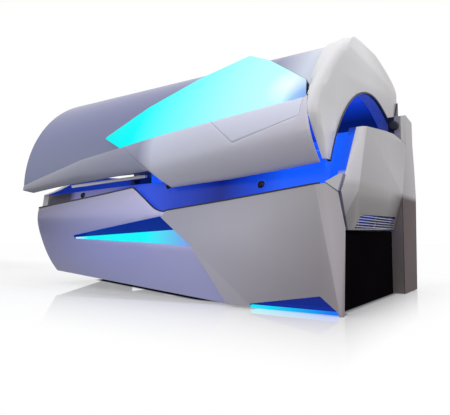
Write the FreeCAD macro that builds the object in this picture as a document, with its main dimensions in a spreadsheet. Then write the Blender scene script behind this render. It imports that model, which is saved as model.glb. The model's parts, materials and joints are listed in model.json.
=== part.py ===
import FreeCAD, Part
import math
import os
import Sketcher
from FreeCAD import Placement, Rotation, Vector

# Clamshell tanning bed, millimetres. +X runs to the head end, -Y to the side the user climbs in,
# +Z up. The origin is on the floor under the middle of the bed.

doc = FreeCAD.newDocument("TanningBed")
sheet = doc.addObject("Spreadsheet::Sheet", "Dims")

DIMENSIONS = {
    # whole bed
    "halfLength": 1230,
    "wallThick": 5,
    "sheetThick": 2,
    "gap": 3,
    # canopy roof: two arcs, a rear shoulder and a straight rear wall
    "roofFootX": -1200,
    "roofHeadX": 984,
    "roofFrontR": 776,
    "roofFrontZ": 690,
    "roofCrownY": 221,
    "roofBackR": 927,
    "roofShoulderR": 70,
    "roofRearY": 680,
    "roofRearZ": 942,
    "roofFrontFootZ": 703,
    "capProud": 20,
    "capHeadX": 1125,
    "mouthRearY": 640,
    "tunnelFootX": -1000,
    "tunnelHeadX": 1040,
    # canopy hinge and lift
    "hingeY": 572,
    "hingeZ": 980,
    "hingePinR": 14,
    "hingeFit": 0.05,
    "leverDown": 33,
    "leverForward": 105,
    "liftFootY": 480,
    "liftFootZ": 480,
    # base casing
    "baseFootX": -1090,
    "frontY": -666,
    "frontHeadX": 1213,
    "plinthHeadX": 1162,
    "plinthTopZ": 360,
    "plinthFrontY": -500,
    "towerFrontY": 316,
    "towerInnerX": 1154,
    "towerTopZ": 1083,
    "footPostX": -1088,
    "footPostW": 76,
    "footPostFrontY": 436,
    "footPostRearY": 625,
    "rearPanelY": 590,
    "rearPanelTopZ": 880,
    # steel frame
    "frameTubeW": 40,
    "frameTubeH": 60,
    "frameFootX": -1066,
    "frameHeadX": 1153.5,
    "frameY": 330,
    "frameZ": 130,
    "legZ": 45,
    "benchRailZ": 330,
    "feetR": 32,
    # lamps
    "lampR": 19,
    "lampGap": 16,
    "lampHolder": 24,
    "benchLamps": 14,
    "canopyLamps": 18,
    # user surface
    "benchFrontY": -440,
    "benchRearY": 540,
    "benchEdgeZ": 560,
    "benchLowZ": 470,
    # ventilation
    "fanR": 90,
    "fanX": 620,
    "fanZ": 370,
}

for row, (alias, value) in enumerate(DIMENSIONS.items(), start=1):
    sheet.set("A%d" % row, alias)
    sheet.set("B%d" % row, str(value))
    sheet.setAlias("B%d" % row, alias)
doc.recompute()

PARTS = []


def cell(alias):
    return float(sheet.get(alias))


def measure(value):
    """A number as it is, or the present value of an expression on the sheet."""
    if isinstance(value, str):
        return float(sheet.evalExpression(value))
    return float(value)


def bind(target, path, value):
    if isinstance(value, str):
        target.setExpression(path, value)
    elif not path.startswith("Placement"):
        setattr(target, path, value)


def keep(target, label):
    target.Label = label
    PARTS.append(target)
    return target


# ---------------------------------------------------------------- parametric building blocks

PLANE_ROLES = {"X": "YZ_Plane", "Y": "XZ_Plane", "Z": "XY_Plane"}


def sketchOn(body, name, axis, level, outline, circles=()):
    """A closed outline on the plane across axis; every corner is tied to the sheet."""
    sketch = body.newObject("Sketcher::SketchObject", name)
    planes = [feature for feature in body.Origin.OriginFeatures if feature.Role == PLANE_ROLES[axis]]
    sketch.AttachmentSupport = [(planes[0], "")]
    sketch.MapMode = "FlatFace"
    side = -1 if axis == "Y" else 1
    if isinstance(level, str):
        sketch.setExpression("AttachmentOffset.Base.z", "%d * (%s)" % (side, level))
    else:
        sketch.AttachmentOffset = Placement(Vector(0, 0, side * level), Rotation())
    corners = [(measure(a), measure(b)) for a, b in outline]
    count = len(corners)
    for index in range(count):
        start = Vector(*corners[index], 0)
        end = Vector(*corners[(index + 1) % count], 0)
        sketch.addGeometry(Part.LineSegment(start, end), False)
    for index in range(count):
        sketch.addConstraint(Sketcher.Constraint("Coincident", index, 2, (index + 1) % count, 1))
        for kind, onAxis, part in (("DistanceX", -2, 0), ("DistanceY", -1, 1)):
            value = outline[index][part]
            if abs(corners[index][part]) < 1e-9:
                sketch.addConstraint(Sketcher.Constraint("PointOnObject", index, 1, onAxis))
                continue
            number = sketch.addConstraint(Sketcher.Constraint(kind, -1, 1, index, 1, corners[index][part]))
            if isinstance(value, str):
                sketch.setExpression("Constraints[%d]" % number, value)
    for a, b, radius in circles:
        where = Vector(measure(a), measure(b), 0)
        number = sketch.addGeometry(Part.Circle(where, Vector(0, 0, 1), measure(radius)), False)
        fixed = sketch.addConstraint(Sketcher.Constraint("Radius", number, measure(radius)))
        if isinstance(radius, str):
            sketch.setExpression("Constraints[%d]" % fixed, radius)
    return sketch


def plate(label, axis, level, thick, outline, circles=(), pockets=()):
    """A body padded from its outline along +axis, with optional pockets right through it."""
    body = doc.addObject("PartDesign::Body", "Body_" + label)
    sketch = sketchOn(body, label + "_outline", axis, level, outline, circles)
    pad = body.newObject("PartDesign::Pad", label + "_pad")
    pad.Profile = sketch
    bind(pad, "Length", thick)
    pad.Reversed = axis == "Y"
    for number, pocketOutline in enumerate(pockets):
        name = "%s_window%d" % (label, number)
        window = sketchOn(body, name, axis, level, pocketOutline)
        doc.recompute()
        before = pad.Shape.Volume if number == 0 else body.Tip.Shape.Volume
        pocket = body.newObject("PartDesign::Pocket", name + "_cut")
        pocket.Profile = window
        pocket.Type = "ThroughAll"
        pocket.Reversed = axis != "Y"
        doc.recompute()
        if pocket.Shape.Volume > before - 1:
            raise RuntimeError(name + " cut nothing")
    return keep(body, label)


def box(name, corner, size, label=None):
    block = doc.addObject("Part::Box", name)
    for prop, value in zip(("Length", "Width", "Height"), size):
        bind(block, prop, value)
    block.Placement.Base = Vector(*[measure(value) for value in corner])
    for axis, value in zip("xyz", corner):
        bind(block, "Placement.Base." + axis, value)
    if label:
        keep(block, label)
    return block


def rod(name, axis, start, radius, length, label=None):
    turn = {"X": Rotation(Vector(0, 1, 0), 90), "Y": Rotation(Vector(1, 0, 0), -90), "Z": Rotation()}[axis]
    cylinder = doc.addObject("Part::Cylinder", name)
    bind(cylinder, "Radius", radius)
    bind(cylinder, "Height", length)
    cylinder.Placement = Placement(Vector(*[measure(value) for value in start]), turn)
    for letter, value in zip("xyz", start):
        bind(cylinder, "Placement.Base." + letter, value)
    if label:
        keep(cylinder, label)
    return cylinder


def fused(label, pieces):
    union = doc.addObject("Part::MultiFuse", "Union_" + label)
    union.Shapes = pieces
    return keep(union, label)


def cutFrom(label, base, tools):
    pocket = doc.addObject("Part::Cut", "Cut_" + label)
    pocket.Base = base
    if len(tools) == 1:
        pocket.Tool = tools[0]
    else:
        joined = doc.addObject("Part::MultiFuse", "Tools_" + label)
        joined.Shapes = tools
        pocket.Tool = joined
    return keep(pocket, label)


def freeForm(label, shape):
    """A moulded piece whose curved shape is worked out from the sheet."""
    feature = doc.addObject("Part::Feature", "Shape_" + label)
    feature.Shape = shape
    return keep(feature, label)


# ---------------------------------------------------------------- curves

class Outline:
    """A closed run of lines, arcs and curves on a plane across one axis."""

    def __init__(self, axis, level, a, b):
        self.axis = axis
        self.level = level
        self.first = self.last = self.point(a, b)
        self.edges = []

    def point(self, a, b):
        if self.axis == "X":
            return Vector(self.level, a, b)
        if self.axis == "Y":
            return Vector(a, self.level, b)
        return Vector(a, b, self.level)

    def flat(self, point):
        return [value for letter, value in zip("XYZ", point) if letter != self.axis]

    def line(self, a, b):
        target = self.point(a, b)
        if target.distanceToPoint(self.last) > 1e-6:
            self.edges.append(Part.LineSegment(self.last, target).toShape())
        self.last = target
        return self

    def arc(self, middle, end):
        target = self.point(*end)
        self.edges.append(Part.Arc(self.last, self.point(*middle), target).toShape())
        self.last = target
        return self

    def curve(self, points, tangents=None):
        """A spline through the points, with given directions at its two ends if tangents are given."""
        curve = Part.BSplineCurve()
        places = [self.last] + [self.point(*p) for p in points]
        if tangents:
            origin = self.point(0, 0)
            start, end = [(self.point(*tangent) - origin).normalize() for tangent in tangents]
            curve.interpolate(Points=places, InitialTangent=start, FinalTangent=end)
        else:
            curve.interpolate(places)
        self.edges.append(curve.toShape())
        self.last = self.point(*points[-1])
        return self

    def wire(self):
        return Part.Wire(self.line(*self.flat(self.first)).edges)

    def prism(self, length):
        direction = {"X": Vector(length, 0, 0), "Y": Vector(0, length, 0), "Z": Vector(0, 0, length)}
        return Part.Face(self.wire()).extrude(direction[self.axis])


def block(x0, y0, z0, x1, y1, z1):
    return Part.makeBox(x1 - x0, y1 - y0, z1 - z0, Vector(x0, y0, z0))


def along(axis, centre, radius, length):
    direction = {"X": Vector(1, 0, 0), "Y": Vector(0, 1, 0), "Z": Vector(0, 0, 1)}[axis]
    return Part.makeCylinder(radius, length, Vector(*centre), direction)


def onCircle(centreA, centreB, radius, degrees):
    angle = math.radians(degrees)
    return (centreA + radius * math.cos(angle), centreB + radius * math.sin(angle))


def roofPath(offset, footZ, rearZ):
    """Stations of the roof's section: foot, front arc, crown, rear arc, shoulder, rear wall."""
    crownY = cell("roofCrownY")
    frontZ = cell("roofFrontZ")
    frontR = cell("roofFrontR") - offset
    backR = cell("roofBackR") - offset
    backZ = frontZ + cell("roofFrontR") - cell("roofBackR")
    shoulderR = cell("roofShoulderR") - offset
    shoulderY = cell("roofRearY") - cell("roofShoulderR")
    reach = cell("roofBackR") - cell("roofShoulderR")
    shoulderZ = backZ + math.sqrt(reach ** 2 - (shoulderY - crownY) ** 2)
    turn = math.degrees(math.atan2(shoulderZ - backZ, shoulderY - crownY))
    start = 180 - math.degrees(math.asin((footZ - frontZ) / frontR))
    return {
        "foot": onCircle(crownY, frontZ, frontR, start),
        "frontMid": onCircle(crownY, frontZ, frontR, (start + 90) / 2),
        "crown": (crownY, frontZ + frontR),
        "backMid": onCircle(crownY, backZ, backR, (90 + turn) / 2),
        "shoulder": onCircle(crownY, backZ, backR, turn),
        "shoulderMid": onCircle(shoulderY, shoulderZ, shoulderR, turn / 2),
        "wall": (shoulderY + shoulderR, shoulderZ),
        "rear": (shoulderY + shoulderR, rearZ),
    }


def followRoof(outline, path, backwards=False):
    if backwards:
        outline.line(*path["rear"])
        outline.line(*path["wall"])
        outline.arc(path["shoulderMid"], path["shoulder"])
        outline.arc(path["backMid"], path["crown"])
        outline.arc(path["frontMid"], path["foot"])
    else:
        outline.arc(path["frontMid"], path["crown"])
        outline.arc(path["backMid"], path["shoulder"])
        outline.arc(path["shoulderMid"], path["wall"])
        outline.line(*path["rear"])
    return outline


def roofSkin(level, outer, inner, footZ, rearZ):
    """Closed section between two offsets of the roof."""
    outside = roofPath(outer, footZ, rearZ)
    inside = roofPath(inner, footZ, rearZ)
    outline = followRoof(Outline("X", level, *outside["foot"]), outside)
    followRoof(outline, inside, backwards=True)
    return outline


ARCH = [(-560, 672), (-447, 855), (-208, 1055), (149, 1142), (490, 1053), (622, 1000)]
ARCH_STATIONS = 12


def archLine(offset):
    """Stations of the tunnel's arch, moved outwards by an offset."""
    curve = Part.BSplineCurve()
    curve.interpolate([Vector(y, z, 0) for y, z in ARCH])
    stations = []
    for number in range(ARCH_STATIONS + 1):
        where = curve.LastParameter * number / ARCH_STATIONS
        point = curve.value(where)
        tangent = curve.tangent(where)[0]
        stations.append((point.x - tangent.y * offset, point.y + tangent.x * offset))
    return stations


def archSheet(level, near, far, first=0, last=ARCH_STATIONS):
    """Closed section between two offsets of the arch, from one station to another."""
    inner = archLine(near)[first:last + 1]
    outer = archLine(far)[first:last + 1]
    outline = Outline("X", level, *inner[0]).curve(inner[1:])
    outline.line(*outer[-1]).curve(outer[-2::-1])
    return outline


def archMouth(level, offset, floorZ):
    """The open area under the arch, down to floorZ."""
    stations = archLine(offset)
    outline = Outline("X", level, *stations[0]).curve(stations[1:])
    outline.line(cell("mouthRearY"), floorZ)
    outline.line(stations[0][0], floorZ)
    return outline


def grown(outline, distance, length, shift=0.0):
    """A prism of an outline moved outwards (or inwards, if negative) by a distance."""
    wire = outline.wire().makeOffset2D(distance)
    direction = {"X": Vector(1, 0, 0), "Y": Vector(0, 1, 0), "Z": Vector(0, 0, 1)}[outline.axis]
    solid = Part.Face(wire).extrude(direction * length)
    solid.translate(direction * shift)
    return solid


def beyond(p1, p2, p3, depth=600):
    """Everything on the outer side of the plane through three points."""
    normal = (p2 - p1).cross(p3 - p1).normalize()
    slab = Part.makePlane(6000, 6000, Vector(-3000, -3000, 0)).extrude(Vector(0, 0, depth))
    slab.Placement = Placement(p1, Rotation(Vector(0, 0, 1), normal))
    return slab


def between(low, high, share):
    return low + (high - low) * share


def polygonXZ(points, level=-800.0):
    outline = Outline("Y", level, *points[0])
    for point in points[1:]:
        outline.line(*point)
    return outline


# ---------------------------------------------------------------- canopy shells

def makeRoof():
    foot = cell("roofFootX")
    # runs on under the head cap's lip
    length = cell("roofHeadX") + 12 - foot
    section = roofSkin(foot, 0, cell("wallThick"), cell("roofFrontFootZ"), cell("roofRearZ"))
    return section.prism(length)


CAP_ROUND_X = 46.0
CAP_ROUND_INSET = 42.0
CAP_STEPS = 7
CAP_FOOT_Z = 676.0
# distance from the roof's end, inset below the full section, share of the nose
CAP_SWELL = [
    (0, 12, 0), (3, 5, 0), (10, 0, 0.03), (28, 0, 0.26), (46, 0, 0.53), (64, 0, 0.78), (80, 0, 0.94),
]
NOSE = [
    (-606, 676), (-652, 758), (-686, 826), (-698, 880), (-678, 944), (-634, 1006),
    (-572, 1070), (-490, 1150), (-366, 1256), (-185, 1372), (-60, 1434),
]


def capStations(inset, shift):
    """The head cap swells from the roof to its nose and rolls over to the end face in a quarter ellipse."""
    swell = cell("capHeadX") - CAP_ROUND_X
    stations = [(cell("roofHeadX") + run, offset, share) for run, offset, share in CAP_SWELL]
    for step in range(CAP_STEPS):
        angle = math.radians(90.0 * step / (CAP_STEPS - 1))
        level = swell + CAP_ROUND_X * math.sin(angle)
        stations.append((level, CAP_ROUND_INSET * (1 - math.cos(angle)), 1.0))
    return [(level - shift, offset + inset, swelling) for level, offset, swelling in stations]


def capSection(station, footZ):
    """Section of the cap, from the roof's own curve (swelling 0) to the full nose (swelling 1)."""
    level, inset, swelling = station
    centreY = cell("roofCrownY")
    centreZ = cell("roofFrontZ")
    radius = cell("roofFrontR") + cell("capProud")
    front = []
    for y, z in NOSE:
        onRoof = centreY - math.sqrt(radius ** 2 - (z - centreZ) ** 2)
        front.append((between(onRoof, y, swelling), z))
    points = []
    for number, (y, z) in enumerate(front):
        before = front[max(number - 1, 0)]
        after = front[min(number + 1, len(front) - 1)]
        run = math.hypot(after[0] - before[0], after[1] - before[1])
        points.append((y + (after[1] - before[1]) / run * inset, z - (after[0] - before[0]) / run * inset))
    points[0] = (points[0][0], footZ)
    path = roofPath(inset - cell("capProud"), centreZ, cell("roofRearZ"))
    outline = Outline("X", level, *points[0])
    rise = (points[1][0] - points[0][0], points[1][1] - points[0][1])
    outline.curve(points[1:] + [path["crown"]], (rise, (1, 0)))
    outline.arc(path["backMid"], path["shoulder"]).arc(path["shoulderMid"], path["wall"])
    return outline.line(*path["rear"]).line(0, cell("roofRearZ")).line(0, footZ).wire()


BUMPER_END = [(1071, 1100), (1071, 946), (1109, 640), (1109, 500)]


def capLean(shift):
    """The upper part of the end face leans back from a soft crease."""
    level = cell("capHeadX") - shift
    return beyond(Vector(level, -60, 1282), Vector(level, 300, 1282), Vector(level - 52, -60, 1282 + 190))


def capEase(shift):
    """Eases the corner where the end face meets the crown."""
    level = cell("capHeadX") - shift
    low = Vector(level - 42, -50, 1432)
    return beyond(low, Vector(level - 25, 350, 1432), Vector(level - 80, -50, 1490))


def makeHeadCap():
    thick = cell("wallThick")
    outerWires = [capSection(station, CAP_FOOT_Z) for station in capStations(0, 0)]
    innerWires = [capSection(station, CAP_FOOT_Z - 6) for station in capStations(thick, thick)]
    outer = Part.makeLoft(outerWires, True, True)
    inner = Part.makeLoft(innerWires, True, True)
    outer = outer.cut(capLean(0)).cut(capEase(0))
    inner = inner.cut(capLean(thick)).cut(capEase(thick))
    # a collar round the mouth, beyond the end of the acrylic
    inner = inner.cut(archMouth(cell("tunnelHeadX") + 3, thick, 600).prism(300))
    shell = outer.cut(archMouth(900, 0, 500).prism(300)).cut(inner)
    beside = polygonXZ([(900, 500), (900, 958), (1071, 958), *BUMPER_END[1:]]).prism(320)
    return shell.cut(beside).cut(finEnvelope()).cut(makeFinHousing())


BUMPER = [
    # along X, top edge, nose, bottom edge
    (-1198, (-557, 708), (-563, 688), (-552, 640)),
    (-545, (-582, 828), (-606, 756), (-572, 640)),
    (180, (-622, 893), (-652, 796), (-604, 580)),
    (1070, (-676, 944), (-698, 868), (-604, 630)),
    (1112, (-678, 946), (-698, 868), (-604, 632)),
]
BUMPER_SEAM = [(-132, 866), (246, 599)]
FOOT_EDGE = [(-1081, 647), (-820, 665), (-593, 676), (107, 697)]
NAME_PLATE = [(474, 960), (680, 782), (1040, 861), (1053, 960)]


def bumperSection(station, grow, thick):
    level, top, nose, bottom = station
    top = (top[0] - grow, top[1] + grow)
    nose = (nose[0] - grow, nose[1])
    bottom = (bottom[0] - grow, bottom[1] - grow)
    shelf = (-480, top[1] + 12)
    outline = Outline("X", level, *bottom).arc(nose, top).line(*shelf)
    outline.line(shelf[0], shelf[1] - thick).line(top[0] + thick + 1, top[1] - thick)
    outline.arc((nose[0] + thick, nose[1] - 3), (bottom[0] + thick + 2, bottom[1]))
    return outline.wire()


def bumperBody(grow=0.0):
    thick = cell("wallThick") + 2 * grow
    return Part.makeLoft([bumperSection(station, grow, thick) for station in BUMPER], True, True)


def clearOfRoof(shape):
    """Trims what would reach through the roof's skin."""
    low = cell("roofFrontFootZ") - 40
    path = roofPath(-0.5, low, cell("roofRearZ"))
    outline = followRoof(Outline("X", -1400, *path["foot"]), path)
    outline.line(-300, cell("roofRearZ")).line(-300, low)
    return shape.cut(outline.prism(2900))


def makeBumperPieces():
    gap = cell("gap")
    body = clearOfRoof(bumperBody())
    seamTop, seamBottom = BUMPER_SEAM
    footZone = polygonXZ([(-1205, 1000), (-1205, 672), *FOOT_EDGE, seamTop])
    seam = [(seamTop[0], 1100), seamTop, seamBottom, (631, 617), (888, 637), (1104, 656)]
    seam += [(1068, 946), (1068, 1100)]
    plateZone = polygonXZ(NAME_PLATE)
    mainZone = polygonXZ([(x + gap / 2, z) for x, z in seam])
    foot = body.common(footZone.prism(500))
    main = body.common(mainZone.prism(500))
    name = main.common(grown(plateZone, -gap / 3, 500))
    name = name.cut(block(-1300, -560, 0, 1300, 0, 2000))
    main = main.cut(plateZone.prism(240))
    return foot, main, name


FIN = [
    # along X, lower edge, upper edge
    (-366, (-534, 953), (-527, 966)),
    (-175, (-601, 866), (-471, 1078)),
    (-77, (-607, 874), (-443, 1134)),
    (236, (-624, 900), (-348, 1278)),
    (559, (-643, 919), (-304, 1362)),
    (731, (-655, 929), (-391, 1271)),
    (889, (-664, 938), (-471, 1157)),
    (982, (-670, 943), (-488, 1090)),
    (1050, (-674, 947), (-648, 972)),
]
FIN_BULGE = 26.0
FIN_WALL = 8.0


def finSection(station, inset):
    level, low, high = station
    run = math.hypot(high[0] - low[0], high[1] - low[1])
    out = (-(high[1] - low[1]) / run, (high[0] - low[0]) / run)
    bulge = FIN_BULGE * run / 500.0 - inset
    middle = ((low[0] + high[0]) / 2 + out[0] * bulge, (low[1] + high[1]) / 2 + out[1] * bulge)
    lowEnd = (low[0] - out[0] * inset, low[1] - out[1] * inset)
    highEnd = (high[0] - out[0] * inset, high[1] - out[1] * inset)
    return lowEnd, middle, highEnd


def makeFin():
    wires = []
    for station in FIN:
        low, middle, high = finSection(station, 0)
        lowIn, middleIn, highIn = finSection(station, cell("wallThick") + 1)
        outline = Outline("X", station[0], *low).arc(middle, high).line(*highIn).arc(middleIn, lowIn)
        wires.append(outline.wire())
    return clearOfRoof(Part.makeLoft(wires, True, True)).cut(bumperBody(0.4))


def towardsCentre(point):
    """Direction from a point in a section to the centre of the roof's front arc."""
    return (Vector(cell("roofCrownY") - point[0], cell("roofFrontZ") - point[1], 0)).normalize()


def finEnvelope():
    """All that lies under the head end of the fin; the head cap stops at it."""
    wires = []
    for station in FIN[-3:]:
        low, middle, high = finSection(station, -1)
        inwards = towardsCentre(high) * 150
        outline = Outline("X", station[0], *low).arc(middle, high)
        outline.line(high[0] + inwards.x, high[1] + inwards.y).line(low[0] + 150, low[1] - 150)
        wires.append(outline.wire())
    return Part.makeLoft(wires, True, True)


def makeFinHousing():
    """The wall that closes the fin's upper edge down to the roof and the head cap."""
    wires = []
    for station in FIN[2:]:
        high = finSection(station, cell("wallThick") + 2)[2]
        inwards = towardsCentre(high)
        reach = math.hypot(high[0] - cell("roofCrownY"), high[1] - cell("roofFrontZ"))
        depth = reach - cell("roofFrontR") + 6
        foot = (high[0] + inwards.x * depth, high[1] + inwards.y * depth)
        across = (-inwards.y * FIN_WALL, inwards.x * FIN_WALL)
        outline = Outline("X", station[0], *high).line(*foot).line(foot[0] + across[0], foot[1] + across[1])
        wires.append(outline.line(high[0] + across[0], high[1] + across[1]).wire())
    return clearOfRoof(Part.makeLoft(wires, True, True)).cut(makeFin()).cut(bumperBody(0.4))


def capRing(level, offset, footZ):
    path = roofPath(offset, footZ, cell("roofRearZ"))
    outline = followRoof(Outline("X", level, *path["foot"]), path)
    return outline.line(0, cell("roofRearZ")).line(0, footZ).wire()


def makeFootCap():
    """Domed end of the canopy at the foot, open where the tunnel is."""
    foot = cell("roofFootX")
    thick = cell("wallThick")
    dome = cell("halfLength") + foot
    stations = [(foot - 0.3, 0.0), (foot - dome * 0.6, 10.0), (foot - dome, 48.0)]
    outer = Part.makeLoft([capRing(x, t, 700) for x, t in stations], True, True)
    inner = Part.makeLoft([capRing(x + thick, t + thick, 690) for x, t in stations], True, True)
    shell = outer.cut(inner)
    shell = shell.cut(archMouth(-1500, 0, 500).prism(3000))
    return shell.cut(bumperBody(0.4))


def makeSeal(level, length):
    """Black lip pushed into the arch's edge."""
    return archSheet(level, -9, -0.2, 0, ACRYLIC_LAST).prism(length)


ACRYLIC_FIRST = 1
ACRYLIC_LAST = 11


def makeCanopySheet(near, far, first=ACRYLIC_FIRST, last=ACRYLIC_LAST):
    foot = cell("tunnelFootX")
    return archSheet(foot, near, far, first, last).prism(cell("tunnelHeadX") - foot)


def archPoints(offset, share0, share1, count):
    """Evenly spread centres along the arch, moved outwards."""
    curve = Part.BSplineCurve()
    curve.interpolate([Vector(y, z, 0) for y, z in ARCH])
    centres = []
    for number in range(count):
        where = curve.LastParameter * between(share0, share1, number / (count - 1.0))
        point = curve.value(where)
        tangent = curve.tangent(where)[0]
        centres.append((point.x - tangent.y * offset, point.y + tangent.x * offset))
    return centres


def benchPoints(drop, count):
    """Evenly spread centres under the bench sheet."""
    low = cell("benchLowZ")
    edge = cell("benchEdgeZ")
    middleY = (cell("benchFrontY") + cell("benchRearY")) / 2
    half = (cell("benchRearY") - cell("benchFrontY")) / 2
    radius = (half ** 2 + (edge - low) ** 2) / (2 * (edge - low))
    reach = math.degrees(math.asin((half - 60) / radius))
    centres = []
    for number in range(count):
        angle = between(-reach, reach, number / (count - 1.0))
        y, z = onCircle(middleY, low + radius, radius + drop, 270 + angle)
        centres.append((y, z))
    return centres


def benchSheet(level, length, near, far):
    low = cell("benchLowZ")
    edge = cell("benchEdgeZ")
    middleY = (cell("benchFrontY") + cell("benchRearY")) / 2
    half = (cell("benchRearY") - cell("benchFrontY")) / 2
    radius = (half ** 2 + (edge - low) ** 2) / (2 * (edge - low))
    reach = math.degrees(math.asin(half / radius))

    def at(drop, angle):
        return onCircle(middleY, low + radius, radius + drop, 270 + angle)

    outline = Outline("X", level, *at(near, -reach)).arc(at(near, 0), at(near, reach))
    return outline.line(*at(far, reach)).arc(at(far, 0), at(far, -reach)).prism(length)


def makeLamps(centres, footX, length):
    """Glass tubes, hollow, lying along the bed."""
    radius = cell("lampR")
    tubes = []
    for y, z in centres:
        glass = along("X", (footX, y, z), radius, length)
        tubes.append(glass.cut(along("X", (footX + 2, y, z), radius - 1.2, length - 4)))
    return Part.makeCompound(tubes)


def makeHolders(centres, footX, length):
    depth = cell("lampHolder")
    radius = cell("lampR") + 2.0
    holders = []
    for y, z in centres:
        for start in (footX - depth, footX + length):
            holders.append(along("X", (start, y, z), radius, depth))
    return Part.makeCompound(holders)


# ---------------------------------------------------------------- base casing

HULL_FOOT = [(-512, 640), (-525, 548), (-535, 485), (-526, 410), (-503, 340), (-454, 228), (-360, 92)]
HULL_HEAD = [(-658, 640), (-664, 548), (-667, 485), (-666, 410), (-662, 340), (-648, 228), (-607, 2)]
HULL_HEAD_X = 640.0


def hullSection(level, share, shift, thick):
    outer = []
    for near, far in zip(HULL_FOOT, HULL_HEAD):
        outer.append((between(near[0], far[0], share) + shift, between(near[1], far[1], share)))
    inner = [(y + thick, z) for y, z in reversed(outer)]
    outline = Outline("X", level, *outer[0]).curve(outer[1:])
    return outline.line(*inner[0]).curve(inner[1:]).wire()


def hull(shift, thick):
    """A layer parallel to the left front panel; its foot end turns in round the corner."""
    foot = cell("baseFootX")
    wires = [
        hullSection(foot, 0.0, shift + 42, thick),
        hullSection(foot + 9, 0.0, shift + 16, thick),
        hullSection(foot + 34, 0.0, shift, thick),
        hullSection(HULL_HEAD_X, 1.0, shift, thick),
    ]
    return Part.makeLoft(wires, True, True)


TRIM = [(-1100, 538), (-795, 560), (-355, 592), (-92, 614)]
TRIM_DIP = [(-62, 616), (-30, 598), (84, 521), (150, 480), (196, 468), (250, 469)]
TRIM_RIGHT = [(633, 505), (1137, 560)]
CREASE = [(250, 469), (214, 438), (418, 286), (637, 14)]
SLOT = [(-650, 346), (180, 444), (216, 438), (420, 284), (404, 281), (103, 299), (-648, 322)]
LEDGE = [(-640, 334), (288, 371), (420, 284), (404, 281), (103, 299), (-640, 323)]
LOWER_SLOT = [(768, 24), (1112, 80), (1192, 16), (1192, -5), (768, -5)]


def trimLine(rise):
    """The upper edge of the front, from the foot to the crease, moved up."""
    outline = Outline("Y", -800, TRIM[0][0], TRIM[0][1] + rise)
    for x, z in TRIM[1:]:
        outline.line(x, z + rise)
    outline.curve([(x, z + rise) for x, z in TRIM_DIP])
    return outline


def makeLeftPanel():
    zone = trimLine(0)
    for x, z in CREASE[1:]:
        zone.line(x - 2, z)
    zone.line(637, -20).line(-1100, -20)
    panel = hull(0, cell("wallThick")).common(zone.prism(600))
    return panel.cut(polygonXZ(SLOT).prism(600))


def makeGasket():
    ribbon = trimLine(7)
    lower = [(x, z + 0.5) for x, z in reversed(TRIM_DIP)]
    ribbon.line(*lower[0]).curve(lower[1:])
    for x, z in reversed(TRIM):
        ribbon.line(x, z + 0.5)
    left = hull(-2.5, cell("wallThick") + 5).common(ribbon.prism(600))
    front = cell("frontY") - 2
    right = Outline("Y", front, 250.5, 469.5).line(633, 505.5).line(1137, 560.5).line(1137, 567)
    right = right.line(633, 512).line(250.5, 476).prism(cell("wallThick") + 5)
    buffer = along("Y", (1191, cell("towerFrontY") - 24.2, 996), 27, 24)
    buffer = buffer.makeFillet(9, [edge for edge in buffer.Edges if edge.BoundBox.YMax < 300])
    return Part.makeCompound([left.fuse(right.cut(facet(-1))), buffer])


def rightOutline(level):
    head = cell("frontHeadX")
    outline = Outline("Y", level, 252, 469).line(633, 505).line(1137, 560).line(1184, 520)
    outline.line(head, 365).line(head, 2).line(639, 12)
    return outline.line(420, 286).line(216, 438)


def facet(shift):
    """The plane that bevels the head end of the right panel."""
    front = cell("frontY")
    head = cell("frontHeadX")
    return beyond(
        Vector(1128 - shift, front + shift, 380),
        Vector(1200 - shift, front + shift, 3),
        Vector(head - shift, front + 34 + shift, 365),
    )


def makeRightPanel():
    front = cell("frontY")
    thick = cell("wallThick")
    outer = rightOutline(front).prism(70).cut(facet(0))
    inner = grown(rightOutline(front + thick), -thick, 80).cut(facet(thick))
    panel = outer.cut(inner).cut(polygonXZ(LOWER_SLOT).prism(260))
    # the upper edge has no return, which leaves room for the sill behind it
    reliefPoints = [(246, 440), (246, 475), (640, 512), (1145, 566), (1145, 500), (640, 470)]
    relief = polygonXZ(reliefPoints, front + thick + 6).prism(80).cut(facet(thick))
    corner = block(cell("towerInnerX") - 2, front + 42, 366, 1300, front + 200, 600)
    # neither has the bevelled head end
    head = cell("frontHeadX")
    rim = block(head - thick - 3, front - 10, -10, head + 10, front + 200, 600).cut(facet(thick))
    return panel.cut(relief).cut(corner).cut(rim)


def makeRecess():
    """The dark tray behind the light slot: a back wall and a rim."""
    depth = 60.0
    slot = polygonXZ(SLOT)
    around = grown(slot, 3, 600)
    back = hull(depth, 3).common(around)
    rim = hull(cell("wallThick") + 0.5, depth - cell("wallThick") - 0.5).common(around.cut(slot.prism(600)))
    crease = polygonXZ([(CREASE[1][0], 438), (418, 286), (700, 286), (700, 438)]).prism(600)
    return back.fuse(rim).cut(crease).cut(rightPanel)


def makeLedge():
    zone = grown(polygonXZ(LEDGE), -0.6, 600)
    crease = polygonXZ([(CREASE[1][0], 438), (418, 286), (700, 286), (700, 438)]).prism(600)
    return hull(6, 24).common(zone).cut(crease)


COVER_TOP = [(-382, 850), (-246, 867), (-45, 892), (138, 909), (287, 905), (312, 904)]
COVER_LOW = [(312, 374), (-500, 361), (-604, 526)]


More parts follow.
